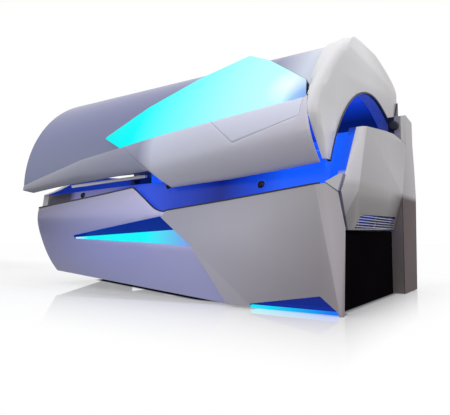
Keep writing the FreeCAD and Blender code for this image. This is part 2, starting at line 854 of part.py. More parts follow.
def coverSolid(inner, outer):
    """Faceted end cover: an upright face, an undercut below its crease and a bevelled front edge."""
    outline = Outline("X", inner, *COVER_TOP[0])
    for y, z in COVER_TOP[1:] + COVER_LOW:
        outline.line(y, z)
    solid = outline.prism(outer - inner)
    creaseFront = Vector(outer, -490, 540)
    frontCorner = Vector(outer - 40, -604, 526)
    undercut = (creaseFront, Vector(outer - 50, 0, 368), Vector(outer, 312, 574))
    corner = (frontCorner, Vector(outer - 50, -500, 361), creaseFront)
    bevel = (creaseFront, Vector(outer, -355, 846), frontCorner)
    for first, second, third in (undercut, corner, bevel):
        if (second - first).cross(third - first).x < 0:
            second, third = third, second
        solid = solid.cut(beyond(first, second, third))
    return solid


VENT = [(-371, 434), (270, 448), (262, 380), (-428, 370)]
SLATS = 5


def makeEndCover(inner, outer):
    """End cover in one moulding with the skin of the tower behind it."""
    thick = cell("wallThick")
    solid = coverSolid(inner, outer)
    inside = solid.copy()
    inside.translate(Vector(-thick, thick, -thick))
    shell = solid.cut(inside)
    vent = Outline("X", inner - 100, *VENT[0])
    for y, z in VENT[1:]:
        vent.line(y, z)
    shell = shell.cut(vent.prism(400))
    skin = towerOutline(outer - thick).prism(thick)
    bridge = block(outer - thick, 300, 590, outer, 330, 900)
    seam = Outline("X", outer - 2, 300, 905).line(425, 895.5).line(425, 897).line(300, 906.6).prism(10)
    return shell.multiFuse([skin, bridge]).cut(seam)


def makeVentGrille(outer):
    """Slats that lean outwards, joined by two uprights behind them."""
    frame = []
    for number in range(SLATS):
        share = (number + 0.8) / SLATS
        left = between(VENT[3][0], VENT[0][0], share) + 3
        right = between(VENT[2][0], VENT[1][0], share) - 12
        z = between(VENT[3][1], VENT[0][1], share)
        x = outer - between(49, 34, share)
        slat = Outline("Y", left, x - 14, z + 3).line(x, z - 3).line(x, z + 0.5)
        frame.append(slat.line(x - 14, z + 6.5).prism(right - left))
    for y in (-350, -80, 200):
        upright = Outline("Y", y, outer - 66, 368).line(outer - 58, 368).line(outer - 42, 446)
        frame.append(upright.line(outer - 50, 446).prism(8))
    return frame[0].multiFuse(frame[1:])


BEARING_R = 30.0
LIFT_STUD_R = 7.95
LIFT_STUD_LENGTH = 50.0


def liftStud(start):
    """Stud that carries the lower eye of a gas spring."""
    return along("X", (start, cell("liftFootY"), cell("liftFootZ")), LIFT_STUD_R, LIFT_STUD_LENGTH)


def towerOutline(level):
    outline = Outline("X", level, cell("towerFrontY"), 3).line(cell("towerFrontY"), 1052)
    outline.line(436, cell("towerTopZ")).line(600, 1068).line(606, 920)
    return outline.line(640, 780).line(668, 594).line(636, 3)


def makeTower():
    inner = cell("towerInnerX")
    outer = cell("halfLength") - cell("wallThick") - 0.2
    thick = cell("wallThick")
    solid = towerOutline(inner).prism(outer - inner)
    hollow = grown(towerOutline(inner + thick), -thick, outer - inner - 2 * thick)
    shell = solid.cut(hollow).cut(block(inner + thick, 330, -5, outer - thick, 620, 10))
    bore = along("X", (inner - 5, cell("hingeY"), cell("hingeZ")), BEARING_R, 15)
    return shell.cut(bore).fuse(liftStud(inner + 1))


# ---------------------------------------------------------------- build: canopy

roof = freeForm("canopy_roof", makeRoof())
headCap = freeForm("canopy_head_cap", makeHeadCap())
footCap = freeForm("canopy_foot_cap", makeFootCap())
bumperFoot, bumperMain, namePlate = makeBumperPieces()
freeForm("canopy_front_foot", bumperFoot)
freeForm("canopy_front_main", bumperMain)
freeForm("canopy_badge_panel", namePlate)
freeForm("light_fin", makeFin())
freeForm("light_fin_housing", makeFinHousing())
freeForm("canopy_acrylic", makeCanopySheet(0, 4))
freeForm("canopy_reflector", makeCanopySheet(62, 64, ACRYLIC_FIRST + 2))
freeForm("arch_seal", makeSeal(cell("capHeadX") - 14, 16))
canopyCentres = archPoints(4 + cell("lampGap") + cell("lampR"), 0.22, 0.9, int(cell("canopyLamps")))
lampFootX = cell("tunnelFootX") + 60
lampLength = cell("tunnelHeadX") - 60 - lampFootX
freeForm("canopy_lamps", makeLamps(canopyCentres, lampFootX, lampLength))
freeForm("canopy_lampholders", makeHolders(canopyCentres, lampFootX, lampLength))


def makeRib(level, length, floorZ):
    """Plate between the reflector and the roof."""
    path = roofPath(cell("wallThick") + 1, floorZ, cell("roofRearZ") + 20)
    outline = followRoof(Outline("X", level, *path["foot"]), path)
    outline.line(path["foot"][0] + 100, cell("roofRearZ") + 20)
    solid = outline.prism(length)
    return solid.cut(archMouth(level - 5, 68, 500).prism(length + 10))


def makeSpars(footX, headX):
    spars = []
    for y, z in ((-20, 1330), (430, 1290), (600, 1180)):
        tube = block(footX, y - 15, z - 15, headX, y + 15, z + 15)
        spars.append(tube.cut(block(footX - 1, y - 12, z - 12, headX + 1, y + 12, z + 12)))
    return spars


def makeCanopyFrame():
    ribs = [makeRib(x, 6, 940) for x in (-1120, -980, 40, 1062)]
    spars = makeSpars(-1117, 1065)
    return ribs[0].multiFuse(ribs[1:] + spars)


freeForm("canopy_frame", makeCanopyFrame())


# Hinge arms, pins and lift levers of the canopy.

def makeHingeArm(level, length):
    y = cell("hingeY")
    z = cell("hingeZ")
    outline = Outline("X", level, y - 26, z).line(y - 6, z + 110).line(618, 1180).line(650, 1225)
    outline.line(654, 1090).line(y + 26, z).arc((y, z - 26), (y - 26, z))
    return outline.prism(length).cut(along("X", (level - 1, y, z), cell("hingePinR"), length + 2))


LEVER_X = 1168
LEVER_THICK = 8


def makeLever(level, thick):
    """Crank on the hinge pin with the stud that the gas spring pushes."""
    y = cell("hingeY")
    z = cell("hingeZ")
    tipY = y - cell("leverForward")
    tipZ = z - cell("leverDown")
    outline = Outline("X", level, y - 6, z + 21).line(tipY - 6, tipZ + 15)
    outline.arc((tipY - 16, tipZ), (tipY - 6, tipZ - 15)).line(y + 4, z - 21)
    plateShape = outline.arc((y + 21, z), (y - 6, z + 21)).prism(thick)
    stud = along("X", (level, tipY, tipZ), 6, 44)
    return plateShape.fuse(stud).cut(along("X", (level - 1, y, z), cell("hingePinR"), thick + 2))


footPostX = cell("footPostX")
footPostHead = footPostX + cell("footPostW")
armHeadX = cell("capHeadX") + 0.3
freeForm("hinge_arms", Part.makeCompound([makeHingeArm(armHeadX, 10), makeHingeArm(-1114, 10)]))
pinHead = rod("Pin_head", "X", ("Dims.capHeadX + 0.3", "Dims.hingeY", "Dims.hingeZ"), "Dims.hingePinR", 60)
pinFoot = rod("Pin_foot", "X", (-1114, "Dims.hingeY", "Dims.hingeZ"), "Dims.hingePinR", 64)
pins = doc.addObject("Part::Compound", "Group_hinge_pins")
pins.Links = [pinHead, pinFoot]
keep(pins, "hinge_pins")
levers = [makeLever(LEVER_X, LEVER_THICK), makeLever(-1064, LEVER_THICK)]
freeForm("lift_levers", Part.makeCompound(levers))


def liftLine():
    foot = Vector(0, cell("liftFootY"), cell("liftFootZ"))
    tip = Vector(0, cell("hingeY") - cell("leverForward"), cell("hingeZ") - cell("leverDown"))
    return foot, tip


SPRING_TUBE_R = 14.0
SPRING_BORE = 10.0
SPRING_ROD_R = 5.0
SPRING_EYE = 12.0
SPRING_EYE_R = 18.0
SPRING_TUBE_LENGTH = 270.0


def makeSpringTube(x):
    foot, tip = liftLine()
    way = (tip - foot).normalize()
    foot = foot + Vector(x, 0, 0)
    tube = Part.makeCylinder(SPRING_TUBE_R, SPRING_TUBE_LENGTH, foot + way * 16, way)
    bore = Part.makeCylinder(SPRING_BORE, SPRING_TUBE_LENGTH - 22, foot + way * 24, way)
    neckFoot = foot + way * (SPRING_TUBE_LENGTH - 4)
    neck = Part.makeCylinder(SPRING_ROD_R + cell("hingeFit"), 40, neckFoot, way)
    eye = along("X", (x - 8, foot.y, foot.z), 17, 16)
    return tube.fuse(eye).cut(bore).cut(neck).cut(along("X", (x - 9, foot.y, foot.z), 8, 18))


def makeSpringRod(x):
    foot, tip = liftLine()
    way = (tip - foot).normalize()
    reach = (tip - foot).Length
    foot = foot + Vector(x, 0, 0)
    tip = tip + Vector(x, 0, 0)
    start = 120.0
    shaft = Part.makeCylinder(SPRING_ROD_R, reach - start - SPRING_EYE - 2, foot + way * start, way)
    piston = Part.makeCylinder(SPRING_BORE - cell("hingeFit"), 14, foot + way * start, way)
    eye = along("X", (x - 8, tip.y, tip.z), SPRING_EYE_R, 16)
    return shaft.fuse(eye).fuse(piston).cut(along("X", (x - 9, tip.y, tip.z), SPRING_EYE, 18))


SPRING_X = (1194, -1038)
freeForm("gas_spring_tubes", Part.makeCompound([makeSpringTube(x) for x in SPRING_X]))
freeForm("gas_spring_rods", Part.makeCompound([makeSpringRod(x) for x in SPRING_X]))


# ---------------------------------------------------------------- build: base casing

freeForm("front_panel_foot", makeLeftPanel())
rightPanel = makeRightPanel()
freeForm("front_panel_head", rightPanel)
freeForm("front_gasket", makeGasket())
freeForm("light_recess", makeRecess())
freeForm("light_ledge", makeLedge())


def makeFairing():
    corners = [(1134, -648.5, 567), (1177, -590, 610), (1192, -556, 609), (1189, -630, 523)]
    points = [Vector(*corner) for corner in corners]
    normal = (points[3] - points[0]).cross(points[2] - points[0]).normalize()
    drop = normal.dot(points[1] - points[0])
    points[1] = points[1] - normal * drop
    face = Part.Face(Part.makePolygon(points + [points[0]]))
    return face.extrude(normal * -6)


def sillSection(station, thick):
    """Upright face, rounded top and a slope down to the edge of the bench sheet."""
    level, low, high = station
    edgeY = cell("benchFrontY") - 2
    edgeZ = cell("benchEdgeZ") + 8
    outline = Outline("X", level, *low).line(*high).line(high[0] + 14, high[1] + 1).line(edgeY, edgeZ)
    outline.line(edgeY, edgeZ - thick - 1).line(high[0] + 13, high[1] - thick - 1)
    return outline.line(high[0] + 4, high[1] - thick - 2).line(low[0] + thick, low[1]).wire()


def trunnion(centre, radius, reach):
    """The round pin, across the sill, on which an air nozzle turns."""
    return Part.makeCylinder(radius, 2 * reach, centre - SILL_UP * reach, SILL_UP)


def makeSill(stations, thick, nozzles):
    """Inclined strip between the front gasket and the user sheet, with seats for the air nozzles."""
    strip = Part.makeLoft([sillSection(station, thick) for station in stations], True, True)
    for where in nozzles:
        centre = Vector(*where)
        collar = Part.makeCylinder(NOZZLE_R + 8, 12, centre - SILL_NORMAL * 6, SILL_NORMAL)
        strip = strip.fuse(collar).cut(Part.makeSphere(NOZZLE_R + NOZZLE_GAP, centre))
        strip = strip.cut(trunnion(centre, TRUNNION_R + 0.05, NOZZLE_R + 5))
    return strip


coverBody = coverSolid(cell("towerInnerX"), cell("halfLength"))
freeForm("corner_fairing", makeFairing().cut(coverBody).cut(rightPanel))
SILL_GLOW = [
    # along X, lower edge, upper edge
    (-58, (-594, 470), (-560, 640)),
    (250, (-634, 440), (-572, 640)),
    (1132, (-652, 470), (-576, 640)),
]
SILL_FOOT = [(-1029, (-487, 503), (-466, 632)), (-64, (-590, 560), (-558, 640))]
SILL_NORMAL = Vector(0, -0.95, 0.31).normalize()
SILL_UP = Vector(0, 0.31, 0.95).normalize()
TRUNNION_R = 3.0
NOZZLES = {"head": (795, -596, 579), "middle": (203, -577, 612), "foot": (-593, -513, 606)}
NOZZLE_R = 20.0
NOZZLE_GAP = 0.3
sillGlow = makeSill(SILL_GLOW, 4, [NOZZLES["head"], NOZZLES["middle"]]).cut(facet(cell("wallThick") + 1))
freeForm("sill_glow", sillGlow)
freeForm("sill_foot", makeSill(SILL_FOOT, 4, [NOZZLES["foot"]]))
freeForm("head_end_cover", makeEndCover(cell("towerInnerX"), cell("halfLength")))
freeForm("head_vent_grille", makeVentGrille(cell("halfLength")))
freeForm("rear_tower_head", makeTower())


def makeFootEnd():
    """Plain faceted end at the foot, between the front panel and the rear post."""
    foot = cell("baseFootX")
    rear = cell("footPostFrontY") - 2
    outline = Outline("X", foot, 110, 15)
    for y, z in reversed(HULL_FOOT):
        outline.line(y + 48, z)
    outline.line(-380, 676).line(-150, 800).line(rear, 850).line(rear, 15)
    inside = grown(outline, -cell("wallThick"), 60, cell("wallThick"))
    opening = block(foot + cell("wallThick"), rear - 20, 10, foot + 80, rear + 10, 840)
    low = block(foot + cell("wallThick"), -600, 10, foot + 80, rear + 10, 540)
    return outline.prism(60).cut(inside).cut(opening).cut(low)


freeForm("foot_end_cover", makeFootEnd())
plate("plinth_panel_head", "X", "Dims.plinthHeadX - Dims.wallThick", "Dims.wallThick",
      [("Dims.plinthFrontY", 3), ("Dims.towerFrontY - 2", 3), ("Dims.towerFrontY - 2", "Dims.plinthTopZ"),
       ("Dims.plinthFrontY", "Dims.plinthTopZ")])
plate("plinth_panel_front", "Y", "-Dims.frameY - Dims.frameTubeW / 2 - Dims.wallThick", "Dims.wallThick",
      [(60, 14), (1150, 14), (1150, 186), (60, 186)])


lowerSlot = Outline("Y", cell("frontY") + 6, 772, 26).line(1110, 78).line(1182, 26)
lowerBox = grown(lowerSlot, 5, 72).cut(lowerSlot.prism(68))
freeForm("lower_light_housing", lowerBox)
plate("lower_light_lens", "Y", "Dims.frontY + 2", 66, [(772, 6), (1188, 6), (1188, 19), (772, 19)])

# Lamps, reflector and sheet of the bench.

benchFoot = cell("tunnelFootX")
benchHead = cell("tunnelHeadX")
freeForm("bench_acrylic", benchSheet(benchFoot, benchHead - benchFoot, 0, 5))
holderFoot = lampFootX - cell("lampHolder")
holderHead = lampFootX + lampLength + cell("lampHolder")
freeForm("bench_reflector", benchSheet(holderFoot, holderHead - holderFoot, 62, 64))
benchCentres = benchPoints(5 + cell("lampGap") + cell("lampR"), int(cell("benchLamps")))
freeForm("bench_lamps", makeLamps(benchCentres, lampFootX, lampLength))
freeForm("bench_lampholders", makeHolders(benchCentres, lampFootX, lampLength))

# Steel frame and feet.

railLength = "Dims.frameHeadX - Dims.frameFootX"
frontRail = "-Dims.frameY - Dims.frameTubeW / 2"
rearRail = "Dims.frameY - Dims.frameTubeW / 2"
frameBlocks = []
for name, y in (("Rail_front", frontRail), ("Rail_rear", rearRail)):
    size = (railLength, "Dims.frameTubeW", "Dims.frameTubeH")
    frameBlocks.append(box(name, ("Dims.frameFootX", y, "Dims.frameZ"), size))
for number, share in enumerate((0, 0.33, 0.66, 1)):
    x = "Dims.frameFootX + (Dims.frameHeadX - Dims.frameFootX - Dims.frameTubeW) * %s" % share
    corner = (x, frontRail, "Dims.frameZ")
    size = ("Dims.frameTubeW", "2 * Dims.frameY", "Dims.frameTubeH")
    frameBlocks.append(box("Cross_%d" % number, corner, size))
outrigger = ("Dims.frameFootX", "Dims.frameY", "Dims.frameZ")
outriggerSize = ("Dims.frameTubeW", "Dims.footPostRearY - Dims.frameY", "Dims.frameTubeH")
frameBlocks.append(box("Outrigger", outrigger, outriggerSize))
trayCorner = (-720, "0.1 - Dims.frameY", "Dims.frameZ + Dims.frameTubeH - 3")
frameBlocks.append(box("Tray", trayCorner, (1440, "2 * Dims.frameY - 0.2", 3)))
frameUnion = doc.addObject("Part::MultiFuse", "Union_base_frame")
frameUnion.Shapes = frameBlocks
LEGS = [
    (-1046, 100), (-1046, 330), (-326.8, -190), (392.5, -330), (392.5, 330), (1120, -330), (1120, 330),
]
for number, (x, y) in enumerate(LEGS):
    corner = (x - 20, y - 20, "Dims.legZ")
    frameBlocks.append(box("Leg_%d" % number, corner, (40, 40, "Dims.frameZ - Dims.legZ + 3")))
frameUnion.Shapes = frameBlocks
hollows = []
for name, y in (("Hollow_front", frontRail), ("Hollow_rear", rearRail)):
    corner = ("Dims.frameFootX - 1", y + " + 3", "Dims.frameZ + 3")
    hollows.append(box(name, corner, (railLength + " + 2", "Dims.frameTubeW - 6", "Dims.frameTubeH - 6")))
for number, share in enumerate((0, 0.33, 0.66, 1)):
    x = "Dims.frameFootX + (Dims.frameHeadX - Dims.frameFootX - Dims.frameTubeW) * %s + 3" % share
    corner = (x, "22 - Dims.frameY", "Dims.frameZ + 3")
    size = ("Dims.frameTubeW - 6", "2 * Dims.frameY - 44", "Dims.frameTubeH - 6")
    hollows.append(box("Hollow_cross%d" % number, corner, size))
cutFrom("base_frame", frameUnion, hollows)

benchBlocks = []
benchHollows = []
railSize = (railLength, "Dims.frameTubeW", "Dims.frameTubeW")
boreSize = (railLength + " + 2", "Dims.frameTubeW - 5", "Dims.frameTubeW - 5")
for name, y in (("Bench_front", "-Dims.frameY"), ("Bench_rear", "Dims.frameY - Dims.frameTubeW")):
    benchBlocks.append(box(name, ("Dims.frameFootX", y, "Dims.benchRailZ"), railSize))
    boreCorner = ("Dims.frameFootX - 1", y + " + 2.5", "Dims.benchRailZ + 2.5")
    benchHollows.append(box(name + "_bore", boreCorner, boreSize))
    for number, share in enumerate((0.02, 0.5, 0.98)):
        x = "Dims.frameFootX + (Dims.frameHeadX - Dims.frameFootX - Dims.frameTubeW) * %s" % share
        low = "Dims.frameZ + Dims.frameTubeH"
        height = "Dims.benchRailZ - Dims.frameZ - Dims.frameTubeH"
        size = ("Dims.frameTubeW", "Dims.frameTubeW", height)
        benchBlocks.append(box("%s_leg%d" % (name, number), (x, y, low), size))
for number, share in enumerate((0.02, 0.5, 0.98)):
    x = "Dims.frameFootX + (Dims.frameHeadX - Dims.frameFootX - Dims.frameTubeW) * %s" % share
    size = ("Dims.frameTubeW", "2 * Dims.frameY", "Dims.frameTubeW")
    benchBlocks.append(box("Bench_cross%d" % number, (x, "-Dims.frameY", "Dims.benchRailZ"), size))
    size = ("Dims.frameTubeW - 5", "2 * Dims.frameY - 84", "Dims.frameTubeW - 5")
    corner = (x + " + 2.5", "42 - Dims.frameY", "Dims.benchRailZ + 2.5")
    benchHollows.append(box("Bench_cross%d_bore" % number, corner, size))
benchUnion = doc.addObject("Part::MultiFuse", "Union_bench_frame")
benchUnion.Shapes = benchBlocks
cutFrom("bench_frame", benchUnion, benchHollows)


def makeFeet():
    feet = []
    for x, y in LEGS:
        pad = Part.makeCone(cell("feetR"), cell("feetR") - 8, 12, Vector(x, y, 0))
        feet.append(pad.fuse(along("Z", (x, y, 12), 8, cell("legZ") - 12)))
    return Part.makeCompound(feet)


freeForm("levelling_feet", makeFeet())


# Rear of the base: service panel, inner wall, foot post, hinge bearings.

fanCircles = [("-Dims.fanX", "Dims.fanZ", "Dims.fanR"), ("Dims.fanX", "Dims.fanZ", "Dims.fanR")]
louvres = []
for column in (-860, -190, 370):
    for step in range(3):
        z = 130 + 34 * step
        louvres.append([(column, z), (column + 240, z), (column + 240, z + 14), (column, z + 14)])
plate("rear_panel", "Y", "Dims.rearPanelY - Dims.sheetThick", "Dims.sheetThick",
      [("Dims.footPostX + Dims.footPostW + 2", 20), (1152, 20), (1152, 942), (992, 942),
       (992, "Dims.rearPanelTopZ"), ("Dims.footPostX + Dims.footPostW + 2", "Dims.rearPanelTopZ")],
      fanCircles, louvres)


def makeInnerWall():
    """Rear wall of the user space; its top turns back over the service panel."""
    foot = cell("tunnelFootX")
    length = cell("tunnelHeadX") - foot
    rear = cell("rearPanelY") - cell("sheetThick") - 0.5
    outline = Outline("X", foot, 544, 562).line(566, 600).line(572, 945).line(575, 945).line(575, 933)
    outline.line(rear, 930).line(rear, 860).line(rear - 3, 860).line(rear - 3, 927)
    outline.line(574.8, 929).line(570, 600)
    return outline.line(547, 560).prism(length)


freeForm("rear_inner_wall", makeInnerWall())


FOOT_POST_TOP = 1045


def makeFootPost():
    """Square steel post that carries the foot hinge."""
    head = footPostX + cell("footPostW")
    front = cell("footPostFrontY")
    rear = cell("footPostRearY")
    low = cell("frameZ") + cell("frameTubeH") + 0.2
    solid = block(footPostX, front, low, head, rear, FOOT_POST_TOP)
    hollow = block(footPostX + 4, front + 4, low + 4, head - 4, rear - 4, FOOT_POST_TOP - 4)
    bore = along("X", (footPostX - 1, cell("hingeY"), cell("hingeZ")), BEARING_R, 8)
    return solid.cut(hollow).cut(bore).fuse(liftStud(footPostX + 1))


def makeBearings():
    """Flanged bushes: one in the tower's inner wall, one in the foot post."""
    y = cell("hingeY")
    z = cell("hingeZ")
    bushes = []
    for start in (cell("towerInnerX") - 3, footPostX - 3):
        bush = along("X", (start + 3, y, z), BEARING_R, 10)
        bush = bush.fuse(along("X", (start, y, z), BEARING_R + 6, 3))
        bushes.append(bush.cut(along("X", (start - 1, y, z), cell("hingePinR") + cell("hingeFit"), 16)))
    return Part.makeCompound(bushes)


freeForm("rear_post_foot", makeFootPost())
freeForm("hinge_bearings", makeBearings())


def makeFanHousings():
    rings = []
    y = cell("rearPanelY") - cell("wallThick") - 56
    for x in (-cell("fanX"), cell("fanX")):
        centre = (x, y, cell("fanZ"))
        z = cell("fanZ")
        radius = cell("fanR")
        ring = along("Y", centre, radius + 4, 58.5).cut(along("Y", (x, y - 1, z), radius, 65))
        arms = [block(x - radius - 1, y, z - 5, x + radius + 1, y + 5, z + 5)]
        arms.append(block(x - 5, y, z - radius - 1, x + 5, y + 5, z + radius + 1))
        hub = along("Y", centre, 26, 12)
        rings.append(ring.multiFuse(arms + [hub]))
    return Part.makeCompound(rings)


FAN_BLADES = 7


def makeFanRotor(x):
    y = cell("rearPanelY") - cell("wallThick") - 42
    z = cell("fanZ")
    pieces = [along("Y", (x, y, z), 28, 30)]
    for number in range(FAN_BLADES):
        blade = block(24, -1.25, -18, cell("fanR") - 3, 1.25, 18)
        blade.rotate(Vector(0, 0, 0), Vector(1, 0, 0), 52)
        blade.rotate(Vector(0, 0, 0), Vector(0, 1, 0), 360.0 * number / FAN_BLADES)
        blade.translate(Vector(x, y + 15, z))
        pieces.append(blade)
    return pieces[0].multiFuse(pieces[1:])


freeForm("fan_housings", makeFanHousings())
freeForm("fan_rotor_foot", makeFanRotor(-cell("fanX")))
freeForm("fan_rotor_head", makeFanRotor(cell("fanX")))

# Electrical gear in the base.


def makeBallasts():
    """Ten chokes in two rows, each a laminated core with a terminal block."""
    chokes = []
    base = cell("frameZ") + cell("frameTubeH") + 0.2
    for row in (-230, 90):
        for number in range(5):
            x = -660 + 250 * number
            core = block(x, row, base, x + 170, row + 90, base + 62)
            ear = block(x - 22, row + 12, base, x, row + 78, base + 4)
            terminal = block(x + 170, row + 15, base, x + 196, row + 75, base + 30)
            chokes.append(core.multiFuse([ear, terminal]))
    return Part.makeCompound(chokes)


freeForm("ballasts", makeBallasts())
caseBody = box("Control_case", (760, -250, "Dims.frameZ + Dims.frameTubeH + 0.2"), (300, 240, 130))
caseRoom = box("Control_room", (762, -248, "Dims.frameZ + Dims.frameTubeH + 2.2"), (296, 236, 126))
cutFrom("control_box", caseBody, [caseRoom])


def makeInlet():
    """Mains gland on the rear panel."""
    y = cell("rearPanelY") + 0.2
    nut = Outline("Y", y, *onCircle(-900, 140, 19, 0))
    for corner in range(1, 6):
        nut.line(*onCircle(-900, 140, 19, 60 * corner))
    dome = Part.makeCone(15, 10, 16, Vector(-900, y + 10, 140), Vector(0, 1, 0))
    return nut.prism(10).fuse(dome).cut(along("Y", (-900, y - 1, 140), 7, 40))


freeForm("mains_inlet", makeInlet())


def makeEndPlates():
    """Plates that carry the bench lampholders and the ends of the user sheet."""
    low = cell("benchLowZ")
    edge = cell("benchEdgeZ")
    middleY = (cell("benchFrontY") + cell("benchRearY")) / 2
    half = (cell("benchRearY") - cell("benchFrontY")) / 2
    radius = (half ** 2 + (edge - low) ** 2) / (2 * (edge - low))
    reach = math.degrees(math.asin((half - 12) / radius))
    tops = [onCircle(middleY, low + radius, radius + 5.5, 270 + angle) for angle in (-reach, 0, reach)]
    plates = []
    for x in (holderFoot - 6.2, holderHead + 0.2):
        outline = Outline("X", x, *tops[0]).arc(tops[1], tops[2])
        plates.append(outline.line(tops[2][0], 370.2).line(tops[0][0], 370.2).prism(6))
    return Part.makeCompound(plates)


freeForm("bench_end_plates", makeEndPlates())


def makeRearSkirt():
    """Closes the canopy between the end of its sheet and the roof's rear wall."""
    foot = cell("tunnelFootX")
    rear = cell("roofRearY") - cell("wallThick") - 0.5
    outline = Outline("X", foot, 522, 1046).line(568, 1021).line(576, 959).line(rear, 959).line(rear, 955)
    return outline.line(572, 955).line(564, 1018).line(520, 1042).prism(cell("roofHeadX") - 2 - foot)


freeForm("canopy_rear_skirt", makeRearSkirt())


def makeEdgeBar():
    wires = []
    for x, z in ((-640, 671.5), (14, 691)):
        outline = Outline("X", x, -576, z).line(-556, z).line(-556, z - 15).line(-572, z - 17)
        wires.append(outline.wire())
    return Part.makeLoft(wires, True, True)


freeForm("canopy_edge_bar", makeEdgeBar())


def makeFinBar():
    start = Vector(-120, -572, 893)
    end = Vector(930, -604, 976)
    return Part.makeCylinder(8, (end - start).Length, start, end - start)


freeForm("fin_light_bar", makeFinBar())


def makeSpeakerPanel():
    """Perforated wall that closes the head end beside the user's head."""
    level = cell("capHeadX") - 27
    outline = Outline("X", level, -556, 664).line(-470, 815).line(-300, 815).line(-300, 600).line(-535, 600)
    panel = outline.prism(4)
    holes = []
    for row in range(7):
        for column in range(7):
            y = -500 + 22 * column + (11 if row % 2 else 0)
            holes.append(along("X", (level - 1, y, 640 + 22 * row), 5, 6))
    return panel.cut(Part.makeCompound(holes)).cut(sillGlow)


freeForm("speaker_panel", makeSpeakerPanel())


def makeNozzle(where):
    """Ball with a slotted outlet; its seat holds it and lets it turn."""
    x, y, z = where
    centre = Vector(x, y, z)
    ball = Part.makeSphere(NOZZLE_R, centre).fuse(trunnion(centre, TRUNNION_R, NOZZLE_R + 4.5))
    mouth = along("Y", (x, y - NOZZLE_R - 5, z), 12, 20)
    vanes = []
    for step in (-5, 0, 5):
        vanes.append(block(x - 12, y - NOZZLE_R + 3, z + step - 0.8, x + 12, y - 4, z + step + 0.8))
    return ball.cut(mouth).multiFuse(vanes)


for end, where in NOZZLES.items():
    freeForm("air_nozzle_" + end, makeNozzle(where))


# ---------------------------------------------------------------- check and write

doc.recompute()
for item in doc.Objects:
    if "Invalid" in item.State or "Error" in item.State:
        raise RuntimeError("%s failed: %s" % (item.Label, item.State))
os.makedirs("parts", exist_ok=True)
for item in PARTS:
    shape = item.Shape
    if shape.isNull() or not shape.isValid() or not shape.Solids:
        raise RuntimeError(item.Label + " has no valid solid")
    shape.exportStep("parts/" + item.Label + ".step")
    size = shape.optimalBoundingBox()
    print("%-24s solids %3d  volume %8.0f cm3  x %6.0f %6.0f  y %5.0f %5.0f  z %5.0f %5.0f" % (
        item.Label, len(shape.Solids), shape.Volume / 1000.0,
        size.XMin, size.XMax, size.YMin, size.YMax, size.ZMin, size.ZMax))
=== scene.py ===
import math
import json
import bpy
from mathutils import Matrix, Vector

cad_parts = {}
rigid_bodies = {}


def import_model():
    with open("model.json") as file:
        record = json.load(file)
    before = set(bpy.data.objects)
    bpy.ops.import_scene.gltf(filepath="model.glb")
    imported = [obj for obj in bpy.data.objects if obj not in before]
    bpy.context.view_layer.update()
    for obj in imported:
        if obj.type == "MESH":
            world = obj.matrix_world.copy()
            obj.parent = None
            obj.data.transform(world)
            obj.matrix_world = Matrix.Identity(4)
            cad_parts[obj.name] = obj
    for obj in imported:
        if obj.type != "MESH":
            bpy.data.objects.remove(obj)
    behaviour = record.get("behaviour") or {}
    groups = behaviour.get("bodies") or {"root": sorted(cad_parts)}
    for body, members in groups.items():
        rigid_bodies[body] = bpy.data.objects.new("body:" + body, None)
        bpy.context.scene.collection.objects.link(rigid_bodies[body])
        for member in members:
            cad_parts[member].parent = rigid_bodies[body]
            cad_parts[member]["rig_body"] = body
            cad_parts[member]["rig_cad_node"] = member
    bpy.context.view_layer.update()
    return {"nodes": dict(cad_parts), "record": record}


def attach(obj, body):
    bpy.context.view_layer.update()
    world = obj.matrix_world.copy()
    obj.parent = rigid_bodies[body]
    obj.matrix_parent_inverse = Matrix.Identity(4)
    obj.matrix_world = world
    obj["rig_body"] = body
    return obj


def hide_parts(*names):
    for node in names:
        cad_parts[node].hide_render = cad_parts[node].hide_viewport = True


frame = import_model()
mm = 0.001


def clearSelection():
    if bpy.context.object and bpy.context.object.mode != "OBJECT":
        bpy.ops.object.mode_set(mode="OBJECT")
    bpy.ops.object.select_all(action="DESELECT")


def pickOnly(piece):
    clearSelection()
    piece.select_set(True)
    bpy.context.view_layer.objects.active = piece


cameraLook = {
    "place": (1.888, -2.5345, 0.3211),
    "turn": 33.93,      # degrees from +Y towards -X
    "tilt": 3.86,       # degrees upwards
    "lens": 37.34,
    "sensor": 36,
}


def addCamera():
    bpy.ops.object.camera_add(location=cameraLook["place"])
    camera = bpy.context.object
    camera.name = "mainCamera"
    camera.rotation_euler = (math.radians(90 + cameraLook["tilt"]), 0, math.radians(cameraLook["turn"]))
    camera.data.lens = cameraLook["lens"]
    camera.data.sensor_width = cameraLook["sensor"]
    bpy.context.scene.camera = camera
    print("camera placed")


lampLooks = {
    "overheadBox": {
        "place": (-0.2, -0.9, 4.6), "aim": (0, 0, 0.8), "size": 4.5, "power": 120, "colour": (1, 1, 1),
    },
    "frontBox": {
        "place": (0.6, -4.6, 1.9), "aim": (0.1, 0, 0.7), "size": 3.0, "power": 60, "colour": (1, 1, 1),
    },
    "headBox": {
        "place": (4.4, -0.6, 2.2), "aim": (0.9, 0, 0.7), "size": 2.6, "power": 45, "colour": (1, 0.97, 0.95),
    },
    "rearBox": {
        "place": (0.2, 4.2, 3.0), "aim": (0, 0, 0.9), "size": 4.0, "power": 60, "colour": (1, 1, 1),
    },
}


def addLamps():
    for name, look in lampLooks.items():
        bpy.ops.object.light_add(type="AREA", location=look["place"])
        lamp = bpy.context.object
        lamp.name = name
        lamp.data.shape = "SQUARE"
        lamp.data.size = look["size"]
        lamp.data.energy = look["power"]
        lamp.data.color = look["colour"]
        lamp.visible_glossy = False
        aim = Vector(look["aim"]) - Vector(look["place"])
        lamp.rotation_euler = aim.to_track_quat("-Z", "Y").to_euler()
    print("lamps placed")


